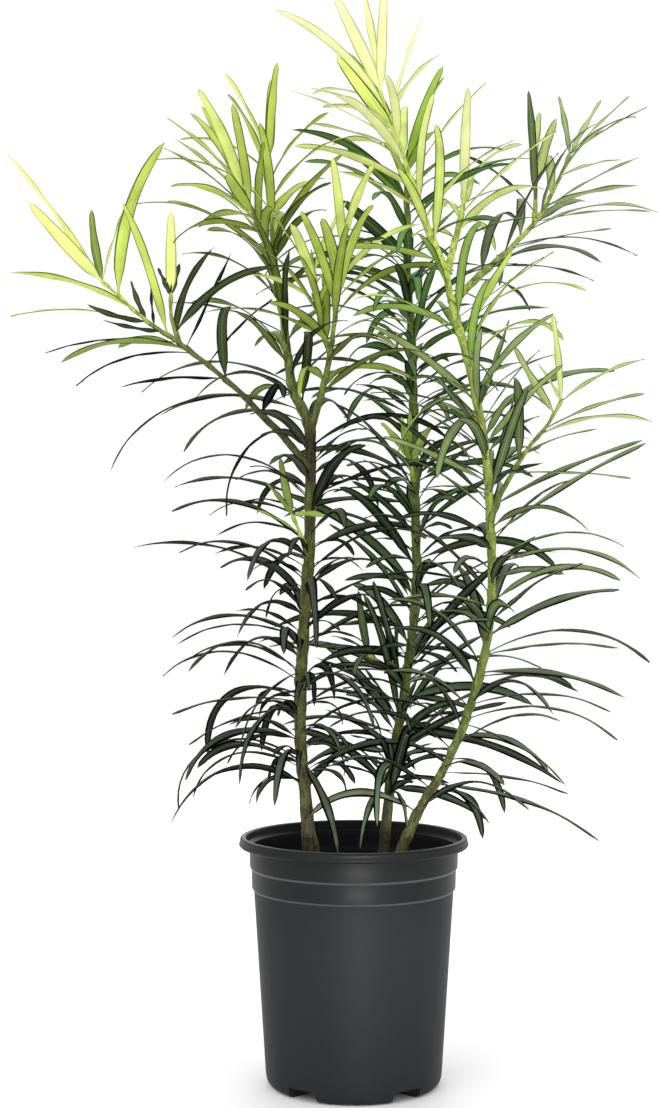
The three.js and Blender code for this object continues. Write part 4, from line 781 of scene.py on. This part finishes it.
# Noise patterns as (scale, detail, stretch), and bumps as (strength, depth in metres). A surface
# without a grain has its pattern as relief.
LEAF_LOOK = {"pattern": (55, 4), "grain": (900, 2), "bump": (0.25, 0.0003)}
BARK_LOOK = {"specular": 0.3, "pattern": (420, 5, (1, 1, 0.22)), "bump": (0.5, 0.0005)}
POT_LOOK = {"pattern": (9, 4, (1, 1, 0.5)), "grain": (1400, 2), "bump": (0.22, 0.0002)}
SOIL_LOOK = {"roughness": 0.95, "specular": 0.2, "pattern": (260, 6), "bump": (0.8, 0.001)}
CHIP_LOOK = {**SOIL_LOOK, "pattern": (500, 6)}


def colour(hex_code):
    """A linear colour from the code of a screen colour."""
    parts = [int(hex_code[i:i + 2], 16) / 255 for i in (0, 2, 4)]
    return [p / 12.92 if p <= 0.04045 else ((p + 0.055) / 1.055) ** 2.4 for p in parts]


def shade(rgb, factor):
    return [min(1.0, c * factor) for c in rgb]


def shades(rgb, *stops):
    """Stops of one colour for a pattern, from (place, share of the colour)."""
    return [(place, shade(rgb, share)) for place, share in stops]


def node_material(name, roughness, specular):
    material = bpy.data.materials.new(name)
    material.use_nodes = True
    shader = material.node_tree.nodes["Principled BSDF"]
    shader.inputs["Roughness"].default_value = roughness
    shader.inputs["Specular IOR Level"].default_value = specular
    return material, material.node_tree, shader


def add_noise(tree, scale, detail, stretch=(1, 1, 1)):
    coordinates = tree.nodes.new("ShaderNodeTexCoord")
    mapping = tree.nodes.new("ShaderNodeMapping")
    mapping.inputs["Scale"].default_value = stretch
    noise = tree.nodes.new("ShaderNodeTexNoise")
    noise.inputs["Scale"].default_value = scale
    noise.inputs["Detail"].default_value = detail
    tree.links.new(coordinates.outputs["Object"], mapping.inputs["Vector"])
    tree.links.new(mapping.outputs["Vector"], noise.inputs["Vector"])
    return noise.outputs["Fac"]


def patterned_material(name, stops, roughness, specular, pattern, bump, grain=None):
    """A material whose colour follows a noise pattern. Stops are (place in it, linear colour)."""
    material, tree, shader = node_material(name, roughness, specular)
    cloud = add_noise(tree, *pattern)
    ramp = tree.nodes.new("ShaderNodeValToRGB")
    elements = ramp.color_ramp.elements
    while len(elements) < len(stops):
        elements.new(0.5)
    for element, (place, rgb) in zip(elements, stops):
        element.position = place
        element.color = (*rgb, 1)
    tree.links.new(cloud, ramp.inputs["Fac"])
    tree.links.new(ramp.outputs["Color"], shader.inputs["Base Color"])
    relief = tree.nodes.new("ShaderNodeBump")
    relief.inputs["Strength"].default_value, relief.inputs["Distance"].default_value = bump
    tree.links.new(add_noise(tree, *grain) if grain else cloud, relief.inputs["Height"])
    tree.links.new(relief.outputs["Normal"], shader.inputs["Normal"])
    return material, cloud


# Hues of leaves: slot, specular level, and the colours of the tones from an old leaf to a new one
HUES = {
    # coal: greyish tones, the leaves' own dark green with a painted grey sheen in it
    "coal": ("dark_leaf", 0.06, "3a3e34 424738 4c5340 5a6640 768a44 b0c75e"),
    "slate": ("dark_leaf", 0.12, "515e4a 56694c 5a7049 647246 768a44 b0c75e"),
    "deep": ("dark_leaf", 0.12, "4a5b3c 526b40 5a7f43 749c48 98b850 bcd268"),
    "fresh": ("green_leaf", 0.12, "4c6240 587a40 709448 90b054 b0c864 cfe07c"),
    "sage": ("green_leaf", 0.12, "565b4d 5f674d 6f8254 8ea266 abbc74 cedf88"),
    "olive": ("green_leaf", 0.12, "444a38 4e5636 6e7c36 92a446 b2c45a d4e67e"),
    "bough": ("dark_leaf", 0.02, "23261f 2d3128 4a5836 7f9446 b4c65a dcec88"),
    "lime": ("young_leaf", 0.12, "788c48 98b052 b4c860 cadc72 d8e98a e6f6a4"),
}
# Kinds of leaf face: roughness, contrast of the pattern, specular level of its own and share of
# the hue's, and shade of the leaf's colour in each tone
FACES = {
    # margin: near-black in old leaves, a painted shade that draws a dark outline along a leaf's edges
    "margin": (0.7, 0.22, 0, 0, [0.03, 0.04, 0.06, 0.1, 0.24, 0.56]),
    "blade": (0.6, 0.22, 0, 1, [1, 1, 1, 1, 1, 1]),
    # streak: lighter grey beside the midrib in old leaves, a painted sheen
    "streak": (0.6, 0.22, 0, 1, [1.34, 1.32, 1.28, 1.2, 1.14, 1.08]),
    "rib": (0.6, 0.12, 0.1, 0, [1.25, 1.3, 1.45, 1.4, 1.25, 1.15]),
    # under: darker in old leaves, a painted shade on undersides and on thin leaves seen edge-on; paler in
    # new leaves, their own colour
    "under": (0.66, 0.22, 0, 0.5, [0.45, 0.5, 0.8, 1.1, 1.2, 1.2]),
}
MARGIN, BLADE, STREAK, RIB, UNDER = range(len(FACES))
# Tones of bark from the stems' feet to new shoots: colour, roughness, contrast of the streaks
BARK_TONES = [
    ("2b2720", 0.9, 0.5), ("45422e", 0.85, 0.5), ("56582e", 0.78, 0.5), ("647034", 0.62, 0.42),
    ("7e8e3e", 0.55, 0.34), ("a4b453", 0.5, 0.26), ("cadb66", 0.48, 0.16),
]


def leaf_materials(hue):
    """A hue's materials: for each tone, one for each kind of leaf face."""
    _, gloss, codes = HUES[hue]
    made = []
    for tone, code in enumerate(codes.split()):
        for kind, (roughness, contrast, own_gloss, share, shading) in FACES.items():
            rgb = shade(colour(code), shading[tone])
            stops = shades(rgb, (0.3, 1 - contrast), (0.7, 1 + contrast))
            made.append(patterned_material(f"leaf_{hue}_{tone}_{kind}", stops, roughness,
                                           own_gloss + share * gloss, **LEAF_LOOK)[0])
    return made


def bark_materials():
    """The tones of bark, each with darker streaks along the stem."""
    made = []
    for tone, (code, roughness, contrast) in enumerate(BARK_TONES):
        stops = shades(colour(code), (0.28, 1 - contrast), (0.5, 1), (0.74, 1 + contrast))
        made.append(patterned_material(f"bark_{tone}", stops, roughness, **BARK_LOOK)[0])
    return made


def pot_material(name, dark, pale, smoothest, roughest, specular):
    """Black moulded plastic: a fine matt grain with a few smoother, dusty patches."""
    stops = [(0.3, colour(dark)), (0.75, colour(pale))]
    material, cloud = patterned_material(name, stops, roughest, specular, **POT_LOOK)
    tree = material.node_tree
    rough = tree.nodes.new("ShaderNodeMapRange")
    rough.inputs["To Min"].default_value = smoothest
    rough.inputs["To Max"].default_value = roughest
    tree.links.new(cloud, rough.inputs["Value"])
    tree.links.new(rough.outputs["Result"], tree.nodes["Principled BSDF"].inputs["Roughness"])
    return material


def soil_material(name, code, look):
    stops = shades(colour(code), (0.3, 0.5), (0.55, 1), (0.78, 1.6))
    return patterned_material(name, stops, **look)[0]


# ---------- leaves ----------

BLADE_FORM = {
    # for an old leaf and a new one: where the margin begins, as a share of half the width, how
    # wide the blade is against its solid, and how far its halves are raised
    "edge": [0.6, 0.78], "slim": [1, 0.78], "fold": [-0.34, 0.16],
    # the age from which the first two are a new leaf's
    "grown": 0.4,
    # chance in the fold, the most that a blade twists, and the waves of its margins
    "fold_spread": 0.1, "twist": 26, "wave": 0.5, "waves": 2.2, "wave_from": 0.3,
    # a blade is thinner at its tip, over this share of its length, and where it is narrow
    "thin_tip": [-0.03, 0.12], "full_width": 8,
    # how far a leaf's tone may be from the one for its age
    "tone_spread": 0.8,
}
OUTLINE = {"skew": 0.75, "power": 0.36, "petiole": 0.2, "foot": 0.1, "full": 0.2, "tip": 0.03}
LEAF_SEEDS = {"mass": 31, "leaf": 977}


def leaf_width(t):
    """Share of full width at share t of a leaf's length: narrow at its foot, blunt at its tip."""
    body = np.sin(np.pi * np.clip(t, 0, 1) ** OUTLINE["skew"]).clip(0, 1) ** OUTLINE["power"]
    foot = OUTLINE["petiole"] + (1 - OUTLINE["petiole"]) * smooth(0.0, OUTLINE["full"], t)
    least = np.where(t < OUTLINE["foot"], OUTLINE["petiole"], OUTLINE["tip"])
    return np.maximum(body * foot, least)


def leaf_section(edge):
    """Round from one margin over the top to the other and back under: (share of half the width,
    height in mm, kind of face up to the next point)."""
    return [
        (1, 0, MARGIN), (edge, 0.1, BLADE), (0.4, 0.12, STREAK), (0.13, 0.04, RIB), (0, 0.26, RIB),
        (-0.13, 0.04, STREAK), (-0.4, 0.12, BLADE), (-edge, 0.1, MARGIN), (-1, 0, MARGIN),
        (-edge, -0.3, UNDER), (-0.12, -0.5, RIB), (0.12, -0.5, UNDER), (edge, -0.3, MARGIN),
    ]


def add_leaf(builder, leaf, tone, draw):
    """One leaf as a closed blade with a midrib."""
    form = BLADE_FORM
    newness = min(1, leaf["age"] / form["grown"])
    t = np.arange(LEAF["steps"] + 1) / LEAF["steps"]
    rise, heading = leaf_angles(leaf, t)
    ahead = direction(rise, heading)
    flat = np.stack([-np.sin(heading), np.cos(heading), np.zeros_like(heading)], axis=-1)
    lifted = np.cross(ahead, flat)
    roll = np.radians(leaf["roll"] + form["twist"] * (draw() - 0.5) * 2 * t)[:, None]
    side = flat * np.cos(roll) + lifted * np.sin(roll)
    up = np.cross(ahead, side)
    half = leaf_width(t) * lerp(*form["slim"], newness) * leaf["width"] / 2
    thin = smooth(*form["thin_tip"], 1 - t) * math.sqrt(leaf["width"] / form["full_width"])
    wave = form["wave"] * np.sin(2 * math.pi * (form["waves"] * t + draw()))
    wave *= smooth(0, form["wave_from"], t)
    fold = lerp(*form["fold"], leaf["age"]) + form["fold_spread"] * (draw() - 0.5)
    section = leaf_section(lerp(*form["edge"], newness))
    edges = []
    for across, height, _ in section:
        level = height * thin + fold * abs(across) * half + wave * across * abs(across)
        edges.append(leaf["points"] + side * (across * half)[:, None] + up * level[:, None])
    first = len(FACES) * tone
    slots = np.tile([first + kind for _, _, kind in section], len(t) - 1)
    builder.add_tube(np.stack(edges, axis=1), slots, [first + UNDER, first + BLADE])


def leaf_piece(hue, masses):
    """All leaves of one hue, joined, each in the tone of its age with a little chance in it."""
    builder = Builder()
    materials = leaf_materials(hue)
    newest = len(materials) // len(FACES) - 1
    for mass in masses:
        for number, leaf in enumerate(mass["leaves"]):
            draw = random_stream(LEAF_SEEDS["mass"] * mass["seed"] + LEAF_SEEDS["leaf"] * number)
            chance = BLADE_FORM["tone_spread"] * (2 * draw() - 1)
            tone = round(leaf["age"] * newest + mass.get("tone", 0) + chance)
            add_leaf(builder, leaf, min(max(tone, 0), newest), draw)
    piece = builder.build(f"{hue}_leaves", materials)
    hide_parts(*[mass["name"] for mass in masses])
    return piece


# ---------- stems ----------

BARK = {"ring_step": 1.5, "sides": 22, "even_out": 3, "sharp": 80, "thin": 2, "least": 0.0004}
# Layers of noise as (size of its lumps, height, squeeze along the stem): heights are in mm for
# grain and lumps, and in tones of bark for mottle
GRAIN = [(1.1, 0.5, 0.22), (0.55, 0.25, 0.22)]
LUMPS = [(6, 0.22, 1)]
MOTTLE = [(2.6, 0.95, 0.4), (1.2, 0.6, 1)]
CUSHION = {"below": 10, "above": 1.6, "half_width": 1.2, "height": 0.75}
# Skins: how rough they are, and how they thicken from place to place
TRUNK = {"rough": 0.75, "seed": 10, "full_at": 34, "slim_from": 90, "slim": 0.5}
ROOT = {"rough": 0.8, "seed": 20, "tones": [[150, 0.8], [200, 1.6]]}
BOUGH = {"rough": 0.5, "seed": 30, "seed_step": 10, "skin": 0.5, "collar": 1.4, "collar_from": 2,
         "collar_fade": 5}
GREEN = {"rough": 0.15, "on_trunk": 0.75, "on_bough": 0.5, "fade": 60, "twig": 0.7, "twig_fade": 4,
         "overlap": 1.5, "bud": 2, "bud_taper": 6, "sprout_tones": [[0, 5.4]]}


def layered_noise(points, layers, seed):
    """The sum of some layers of noise, each with a seed of its own."""
    return sum(height * value_noise(points * [1, 1, squeeze], size, seed + i)
               for i, (size, height, squeeze) in enumerate(layers))


def cushions(distances, angles, radius, roots):
    """How far leaf cushions stand out: a ridge runs down the stem from below each leaf."""
    total = np.zeros((len(distances), len(angles)))
    for distance, turn in roots:
        step = distances - distance
        rise = np.where(step < 0, 1 + step / CUSHION["below"], 1 - step / CUSHION["above"]).clip(0, 1)
        away = (angles - turn + math.pi) % (2 * math.pi) - math.pi
        across = np.exp(-0.5 * (away[None, :] * radius[:, None] / CUSHION["half_width"]) ** 2)
        total = np.maximum(total, CUSHION["height"] * smooth(0, 1, rise)[:, None] * across)
    return total


def leaf_roots(masses, shoot=None):
    """Where leaves stand on a shoot or, without one, on the stem that the masses are round."""
    return [(leaf["distance"], leaf["turn"]) for mass in masses for leaf in mass["leaves"]
            if (leaf["shoot"] is shoot if shoot else not leaf["shoot"]["free"])]


def add_skin(builder, line, radius_at, tones, rough, seed, roots=(), start=0, beyond=0, taper=0):
    """The bark of a stem or shoot, with relief, from a distance along its line to past its end."""
    end = line.total + beyond
    distances = even_steps(start, end, BARK["ring_step"])
    angles = np.arange(BARK["sides"]) * 2 * math.pi / BARK["sides"]
    stands = [line.stand(d) for d in distances]
    place = np.array([stand[0] for stand in stands])
    ahead = np.array([stand[1] for stand in stands])
    for _ in range(BARK["even_out"]):
        ahead[1:-1] = (ahead[:-2] + ahead[1:-1] * 2 + ahead[2:]) / 4
    ahead /= np.linalg.norm(ahead, axis=1, keepdims=True)
    back = np.array([0.0, 1.0, 0.0]) - ahead * ahead[:, 1:2]
    back /= np.linalg.norm(back, axis=1, keepdims=True)
    right = np.cross(back, ahead)
    radius = np.array([radius_at(d) for d in distances])
    if taper:
        radius *= np.sqrt(np.clip((end - distances) / taper, BARK["least"], 1))
    out = right[:, None] * np.cos(angles)[:, None] + back[:, None] * np.sin(angles)[:, None]
    flat = (place[:, None] + out * radius[:, None, None]).reshape(-1, 3)
    relief = rough * layered_noise(flat, GRAIN, seed) + layered_noise(flat, LUMPS, seed + 2)
    relief = relief.reshape(len(distances), -1) * np.minimum(1, radius / BARK["thin"])[:, None]
    relief += cushions(distances, angles, radius, roots)
    points = place[:, None] + out * (radius[:, None] + relief)[:, :, None]
    middle = points.reshape(-1, 3)[ring_faces(len(distances), BARK["sides"])].mean(axis=1)
    tone = np.interp(middle[:, 2], *zip(*tones)) + layered_noise(middle, MOTTLE, seed + 3)
    slots = np.clip(np.round(tone), 0, len(BARK_TONES) - 1).astype(int)
    builder.add_tube(points, slots, [slots[0], slots[-1]])


def trunk_skin(builder, limb, masses):
    """A stem's bark, thickening over its leafy part and flared at its foot."""
    total = limb["line"].total

    def radius_at(d):
        slimmer = lerp(1, TRUNK["slim"], smooth(total - TRUNK["slim_from"], total, d))
        return limb["radius_at"](d) + limb["cover"] * smooth(0, TRUNK["full_at"], d) * slimmer

    add_skin(builder, limb["line"], radius_at, limb["tones"], TRUNK["rough"], TRUNK["seed"],
             leaf_roots(masses))


def root_skin(builder, root):
    """A strand at a stem's foot, which runs up into it."""
    root = prepare_limb(root)
    add_skin(builder, root["line"], root["radius_at"], ROOT["tones"], ROOT["rough"], ROOT["seed"])


def bough_skin(builder, limb, number):
    """A side limb's bark, with a collar where it leaves its stem."""

    def radius_at(d):
        collar = BOUGH["collar"] * math.exp(-max(0, d - BOUGH["collar_from"]) / BOUGH["collar_fade"])
        return limb["radius_at"](d) + BOUGH["skin"] + collar

    add_skin(builder, limb["line"], radius_at, limb["tones"], BOUGH["rough"],
             BOUGH["seed"] + BOUGH["seed_step"] * number)


def shoot_skin(builder, mass, shoot, tones):
    """A green shoot's skin, which starts as thick as what carries it and ends in a bud."""
    main = shoot["order"] == 0
    extra = GREEN["on_trunk"] if mass["carrier"].startswith("trunk") else GREEN["on_bough"]
    start = -GREEN["overlap"] if main else 0

    def radius_at(d):
        if main:
            joined = extra * (1 - smooth(0, GREEN["fade"], d))
        else:
            joined = GREEN["twig"] * math.exp(-d / GREEN["twig_fade"])
        return shoot["radius_at"](d) + joined

    add_skin(builder, shoot["line"], radius_at, tones, GREEN["rough"], mass["seed"],
             leaf_roots([mass], shoot), start, GREEN["bud"], GREEN["bud_taper"])


def stem_piece(side, limbs, masses, materials):
    """The bark of a main stem and its root strand and boughs."""
    trunk = f"trunk_{side}"
    boughs = [name for name, limb in limbs.items() if limb.get("from") == trunk]
    builder = Builder()
    trunk_skin(builder, limbs[trunk], [mass for mass in masses if mass["carrier"] == trunk])
    root_skin(builder, limbs[trunk]["root"])
    for number, name in enumerate(boughs):
        bough_skin(builder, limbs[name], number)
    piece = builder.build(f"{side}_stems", materials, BARK["sharp"])
    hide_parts(trunk, *boughs)
    return piece


def shoot_piece(side, limbs, masses, materials):
    """The green shoots of the masses on a main stem and on its boughs."""
    trunk = f"trunk_{side}"
    builder = Builder()
    for mass in masses:
        if mass["carrier"] == trunk or limbs[mass["carrier"]].get("from") == trunk:
            tones = GREEN["sprout_tones"] if "sprout" in mass else limbs[mass["carrier"]]["tones"]
            for shoot in mass["shoots"]:
                if shoot["free"]:
                    shoot_skin(builder, mass, shoot, tones)
    piece = builder.build(f"{side}_shoots", materials, BARK["sharp"])
    return piece


# ---------- pot ----------

# Looks of the plastic: dark and pale colour, smoothest and roughest patches, specular level
PLASTIC = {
    "pot_wall": ("1d1e1f", "242527", 0.44, 0.56, 0.095),
    # pot_band is the wall's plastic, made smoother and darker: its darker colour is painted shade for the
    # dark reflections at the band's sides
    "pot_band": ("111213", "18191a", 0.38, 0.48, 0.17),
    # pot_edge is paler, glossier plastic: a painted highlight on the step edges and the top of the rim
    "pot_edge": ("343538", "424447", 0.34, 0.44, 0.3),
}
CORNER = {"points": 5, "reach": 0.48}
POT_SHARP = 34


def rounded(profile):
    """A profile of [radius, height, rounding] with an arc-like turn at each corner."""
    corners = [np.array(p[:2], float) for p in profile]
    made = [corners[0]]
    for before, here, after, (_, _, reach) in zip(corners, corners[1:], corners[2:], profile[1:]):
        to_before, to_after = before - here, after - here
        reach = min(reach, *(CORNER["reach"] * np.linalg.norm(way) for way in (to_before, to_after)))
        start = here + unit(to_before) * reach
        end = here + unit(to_after) * reach
        for t in np.linspace(0, 1, CORNER["points"]):
            made.append(start * (1 - t) ** 2 + here * 2 * t * (1 - t) + end * t ** 2)
    return [*made, corners[-1]]


def stretches(points, step):
    """The same profile with points added where two lie further apart than a step."""
    made = [points[0]]
    for a, b in zip(points, points[1:]):
        pieces = max(1, math.ceil(np.linalg.norm(b - a) / step))
        made += [lerp(a, b, k / pieces) for k in range(1, pieces + 1)]
    return made


def turned(name, profile, materials=()):
    """A profile of (radius, height) turned round the axis, with a fan of faces at each end."""
    rings = level_rings(*np.transpose(profile), POT["facets"])
    count, sides = rings.shape[:2]
    first, last = count * sides, (count - 1) * sides
    faces = [*ring_faces(count, sides)]
    for i in range(sides):
        j = (i + 1) % sides
        faces += [(first, j, i), (first + 1, last + i, last + j)]
    middles = [[0, 0, profile[0][1]], [0, 0, profile[-1][1]]]
    builder = Builder()
    builder.add([*rings.reshape(-1, 3), *middles], faces, [0] * len(faces))
    return builder.build(name, materials)


def foot_block(name, heading, margin, height):
    """A block under the pot's edge, wider at its foot than at its top."""
    inner, outer, foot = FOOT["inner"] - margin, FOOT["outer"], -FOOT["under"]
    edges = []
    for radius, z, wider in ((inner, foot, FOOT["flare"]), (inner, height, 0), (outer, height, 0),
                             (outer, foot, FOOT["flare"])):
        half = math.radians(FOOT["half_angle"]) + (margin + wider) / outer
        turn = math.radians(heading) + np.linspace(-half, half, FOOT["arc_steps"] + 1)
        edges.append(radius * direction(0 * turn, turn) + [0, 0, z])
    sides, last = len(edges), len(edges) * FOOT["arc_steps"]
    faces = [*ring_faces(FOOT["arc_steps"] + 1, sides), (0, 3, 2, 1), range(last, last + sides)]
    builder = Builder()
    builder.add(np.stack(edges, axis=1).reshape(-1, 3), faces, [0] * len(faces))
    return builder.build(name)


def drain_hole(heading):
    """A peg that cuts a round hole in the roof of a notch."""
    middle = FOOT["hole_at"] * direction(0, math.radians(heading))
    middle[2] = FOOT["height"] + FOOT["wall"] / 2
    reach = 2 * FOOT["wall"]
    rings = level_rings([FOOT["hole"]] * 2, [-reach, reach], FOOT["hole_sides"])
    return tube("drain_hole", rings + middle)


def boolean(obj, cutter, operation):
    """Cuts one object by another or joins them, and removes the other."""
    modifier = obj.modifiers.new(operation.lower(), "BOOLEAN")
    modifier.operation = operation
    modifier.solver = "EXACT"
    modifier.object = cutter
    evaluated = obj.evaluated_get(bpy.context.evaluated_depsgraph_get())
    mesh = bpy.data.meshes.new_from_object(evaluated)
    obj.modifiers.clear()
    obj.data = mesh
    bpy.data.objects.remove(cutter)


def make_pot():
    """The pot's turned skin, with notches in its foot that are walled off inside it."""
    skin = [*POT["outside"], *POT["inside"], [POT["floor_radius"], POT["floor"], POT["floor_rounding"]]]
    profile = stretches(rounded([[0, 0, 0], *skin, [0, POT["floor"], 0]]), POT["ring_step"])[1:-1]
    pot = turned("pot_shell", profile, [pot_material(name, *look) for name, look in PLASTIC.items()])
    for number in range(FOOT["count"]):
        heading = FOOT["first"] + 360 / FOOT["count"] * number
        housing = turned("housing", FOOT["housing"])
        block = foot_block("housing_block", heading, FOOT["wall"], FOOT["height"] + FOOT["wall"])
        boolean(housing, block, "INTERSECT")
        boolean(pot, housing, "UNION")
        boolean(pot, foot_block("notch", heading, 0, FOOT["height"]), "DIFFERENCE")
        boolean(pot, drain_hole(heading), "DIFFERENCE")
    wall, band, edge = range(len(PLASTIC))
    for polygon in pot.data.polygons:
        polygon.use_smooth = True
        height = polygon.center.z / MM
        # faces above the band's start take the smoother, darker band plastic, whose darkness is painted
        # shade
        polygon.material_index = band if height > POT["band"] else wall
        # edges between these heights take the paler plastic as a painted highlight
        if any(low < height < high for low, high in POT["painted_highlight"]):
            polygon.material_index = edge
    pot.data.set_sharp_from_angle(angle=math.radians(POT_SHARP))
    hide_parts("pot")
    return pot


# ---------- soil ----------

# Layers of noise as for the bark, the same at any height
SOIL_LUMPS = [(9, 0.825, 0), (4, 0.495, 0), (1.8, 0.28875, 0)]
SOIL_SEED = 41
CHIPS = {"count": 620, "seed": 77, "from_wall": 4, "length": [1, 4.2], "width": [0.3, 0.6],
         "height": [0.18, 0.34], "rough": 0.3, "tilt": 0.7, "sharp": 30,
         "colours": ["4a3424", "5c432e", "332419", "6e5a44"]}


def make_soil():
    """The top of the soil, closed underneath."""
    radii = np.linspace(SOIL["radius"], SOIL["middle"], SOIL["rings"])
    rings = level_rings(radii, [SOIL["surface"]] * SOIL["rings"], SOIL["spokes"])
    relief = layered_noise(rings.reshape(-1, 3), SOIL_LUMPS, SOIL_SEED)
    rings[:, :, 2] += relief.reshape(rings.shape[:2])
    skirt = rings[:1] * [1, 1, 0] + [0, 0, SOIL_LEVEL - SOIL["depth"]]
    material = soil_material("potting_soil", "3a2b20", SOIL_LOOK)
    soil = tube("soil_top", np.concatenate([skirt, rings]), [material], SOIL["sharp"])
    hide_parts("soil")
    return soil


def make_chips():
    """Bark chips and bits of root on the soil, each a small angular lump."""
    draw = random_stream(CHIPS["seed"])
    builder = Builder()
    form = bmesh.new()
    bmesh.ops.create_icosphere(form, subdivisions=1, radius=1)
    ball = np.array([v.co for v in form.verts])
    faces = [tuple(v.index for v in f.verts) for f in form.faces]
    form.free()
    for _ in range(CHIPS["count"]):
        radius = (SOIL["radius"] - CHIPS["from_wall"]) * math.sqrt(draw())
        angle = 2 * math.pi * draw()
        place = np.array([[radius * math.cos(angle), radius * math.sin(angle), SOIL["surface"]]])
        place[0, 2] += layered_noise(place, SOIL_LUMPS, SOIL_SEED)[0]
        length = lerp(*CHIPS["length"], draw() ** 2)
        size = np.array([length, length * lerp(*CHIPS["width"], draw()),
                         length * lerp(*CHIPS["height"], draw())])
        lump = ball * (1 + CHIPS["rough"] * (np.array([draw() for _ in ball]) - 0.5))[:, None] * size
        heading, tilt = 2 * math.pi * draw(), CHIPS["tilt"] * (draw() - 0.5)
        lump = lump @ np.array(mathutils.Euler((0, tilt, heading)).to_matrix()).T
        tone = int(draw() * len(CHIPS["colours"]))
        builder.add(lump + place, faces, [tone] * len(faces))
    materials = [soil_material(f"bark_chip_{i}", code, CHIP_LOOK)
                 for i, code in enumerate(CHIPS["colours"])]
    chips = builder.build("bark_chips", materials, CHIPS["sharp"])
    return chips


# ---------- stage, light and camera ----------

# Places and sizes of the camera and the lights are in metres.
CAMERA = {"place": (-0.01776, -1.34, 0.379), "aim": (-0.01776, 0, 0.379), "lens": 60.59, "sensor": 36}
AREA_LIGHTS = [
    # name, place, size, power, aimed at
    ("key", (-1.3, -1.9, 2.1), 1.6, 16, (0, 0, 0.35)),
    ("fill", (1.7, -1.6, 1.2), 1.8, 5, (0, 0, 0.35)),
    ("back", (0.3, 2.0, 1.6), 1.6, 14, (0, 0, 0.4)),
]
SPOT = {"place": (0.12, -1.5, 0.06), "aim": (0, 0, 0.095), "radius": 0.12, "power": 170, "cone": 8.5,
        "blend": 0.6}
WORLD_LIGHT = 1.02
WHITE = (1, 1, 1, 1)
FLOOR = {"half": 9000, "roughness": 0.7, "specular": 0.3}


def make_floor():
    material, _, shader = node_material("pale_floor", FLOOR["roughness"], FLOOR["specular"])
    shader.inputs["Base Color"].default_value = WHITE
    corners = np.array([(-1, -1, 0), (1, -1, 0), (1, 1, 0), (-1, 1, 0)]) * FLOOR["half"]
    builder = Builder()
    builder.add(corners, [range(len(corners))], [0])
    builder.build("floor", [material])


def make_lights():
    for name, place, size, power, target in AREA_LIGHTS:
        data = bpy.data.lights.new(name, "AREA")
        data.size = size
        data.energy = power
        add_object(name, data, place, target)
    data = bpy.data.lights.new("spot", "SPOT")
    data.energy = SPOT["power"]
    data.shadow_soft_size = SPOT["radius"]
    data.spot_size = math.radians(SPOT["cone"])
    data.spot_blend = SPOT["blend"]
    add_object("spot", data, SPOT["place"], SPOT["aim"])


def make_world():
    world = bpy.data.worlds.new("studio")
    world.use_nodes = True
    background = world.node_tree.nodes["Background"]
    background.inputs["Color"].default_value = WHITE
    background.inputs["Strength"].default_value = WORLD_LIGHT
    bpy.context.scene.world = world


def make_camera():
    data = bpy.data.cameras.new("camera")
    data.lens = CAMERA["lens"]
    data.sensor_width = CAMERA["sensor"]
    bpy.context.scene.camera = add_object("camera", data, CAMERA["place"], CAMERA["aim"])


# ---------- assembly ----------

make_camera()
make_floor()
make_lights()
make_world()
bpy.context.scene.view_settings.view_transform = "Standard"

limbs, masses = grow_plant()
bark = bark_materials()
pieces = [make_pot(), make_soil(), make_chips()]
for side in ("left", "middle", "right"):
    pieces.append(stem_piece(side, limbs, masses, bark))
    pieces.append(shoot_piece(side, limbs, masses, bark))
for hue in HUES:
    pieces.append(leaf_piece(hue, [mass for mass in masses if mass["hue"] == hue]))
for piece in pieces:
    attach(piece, "root")
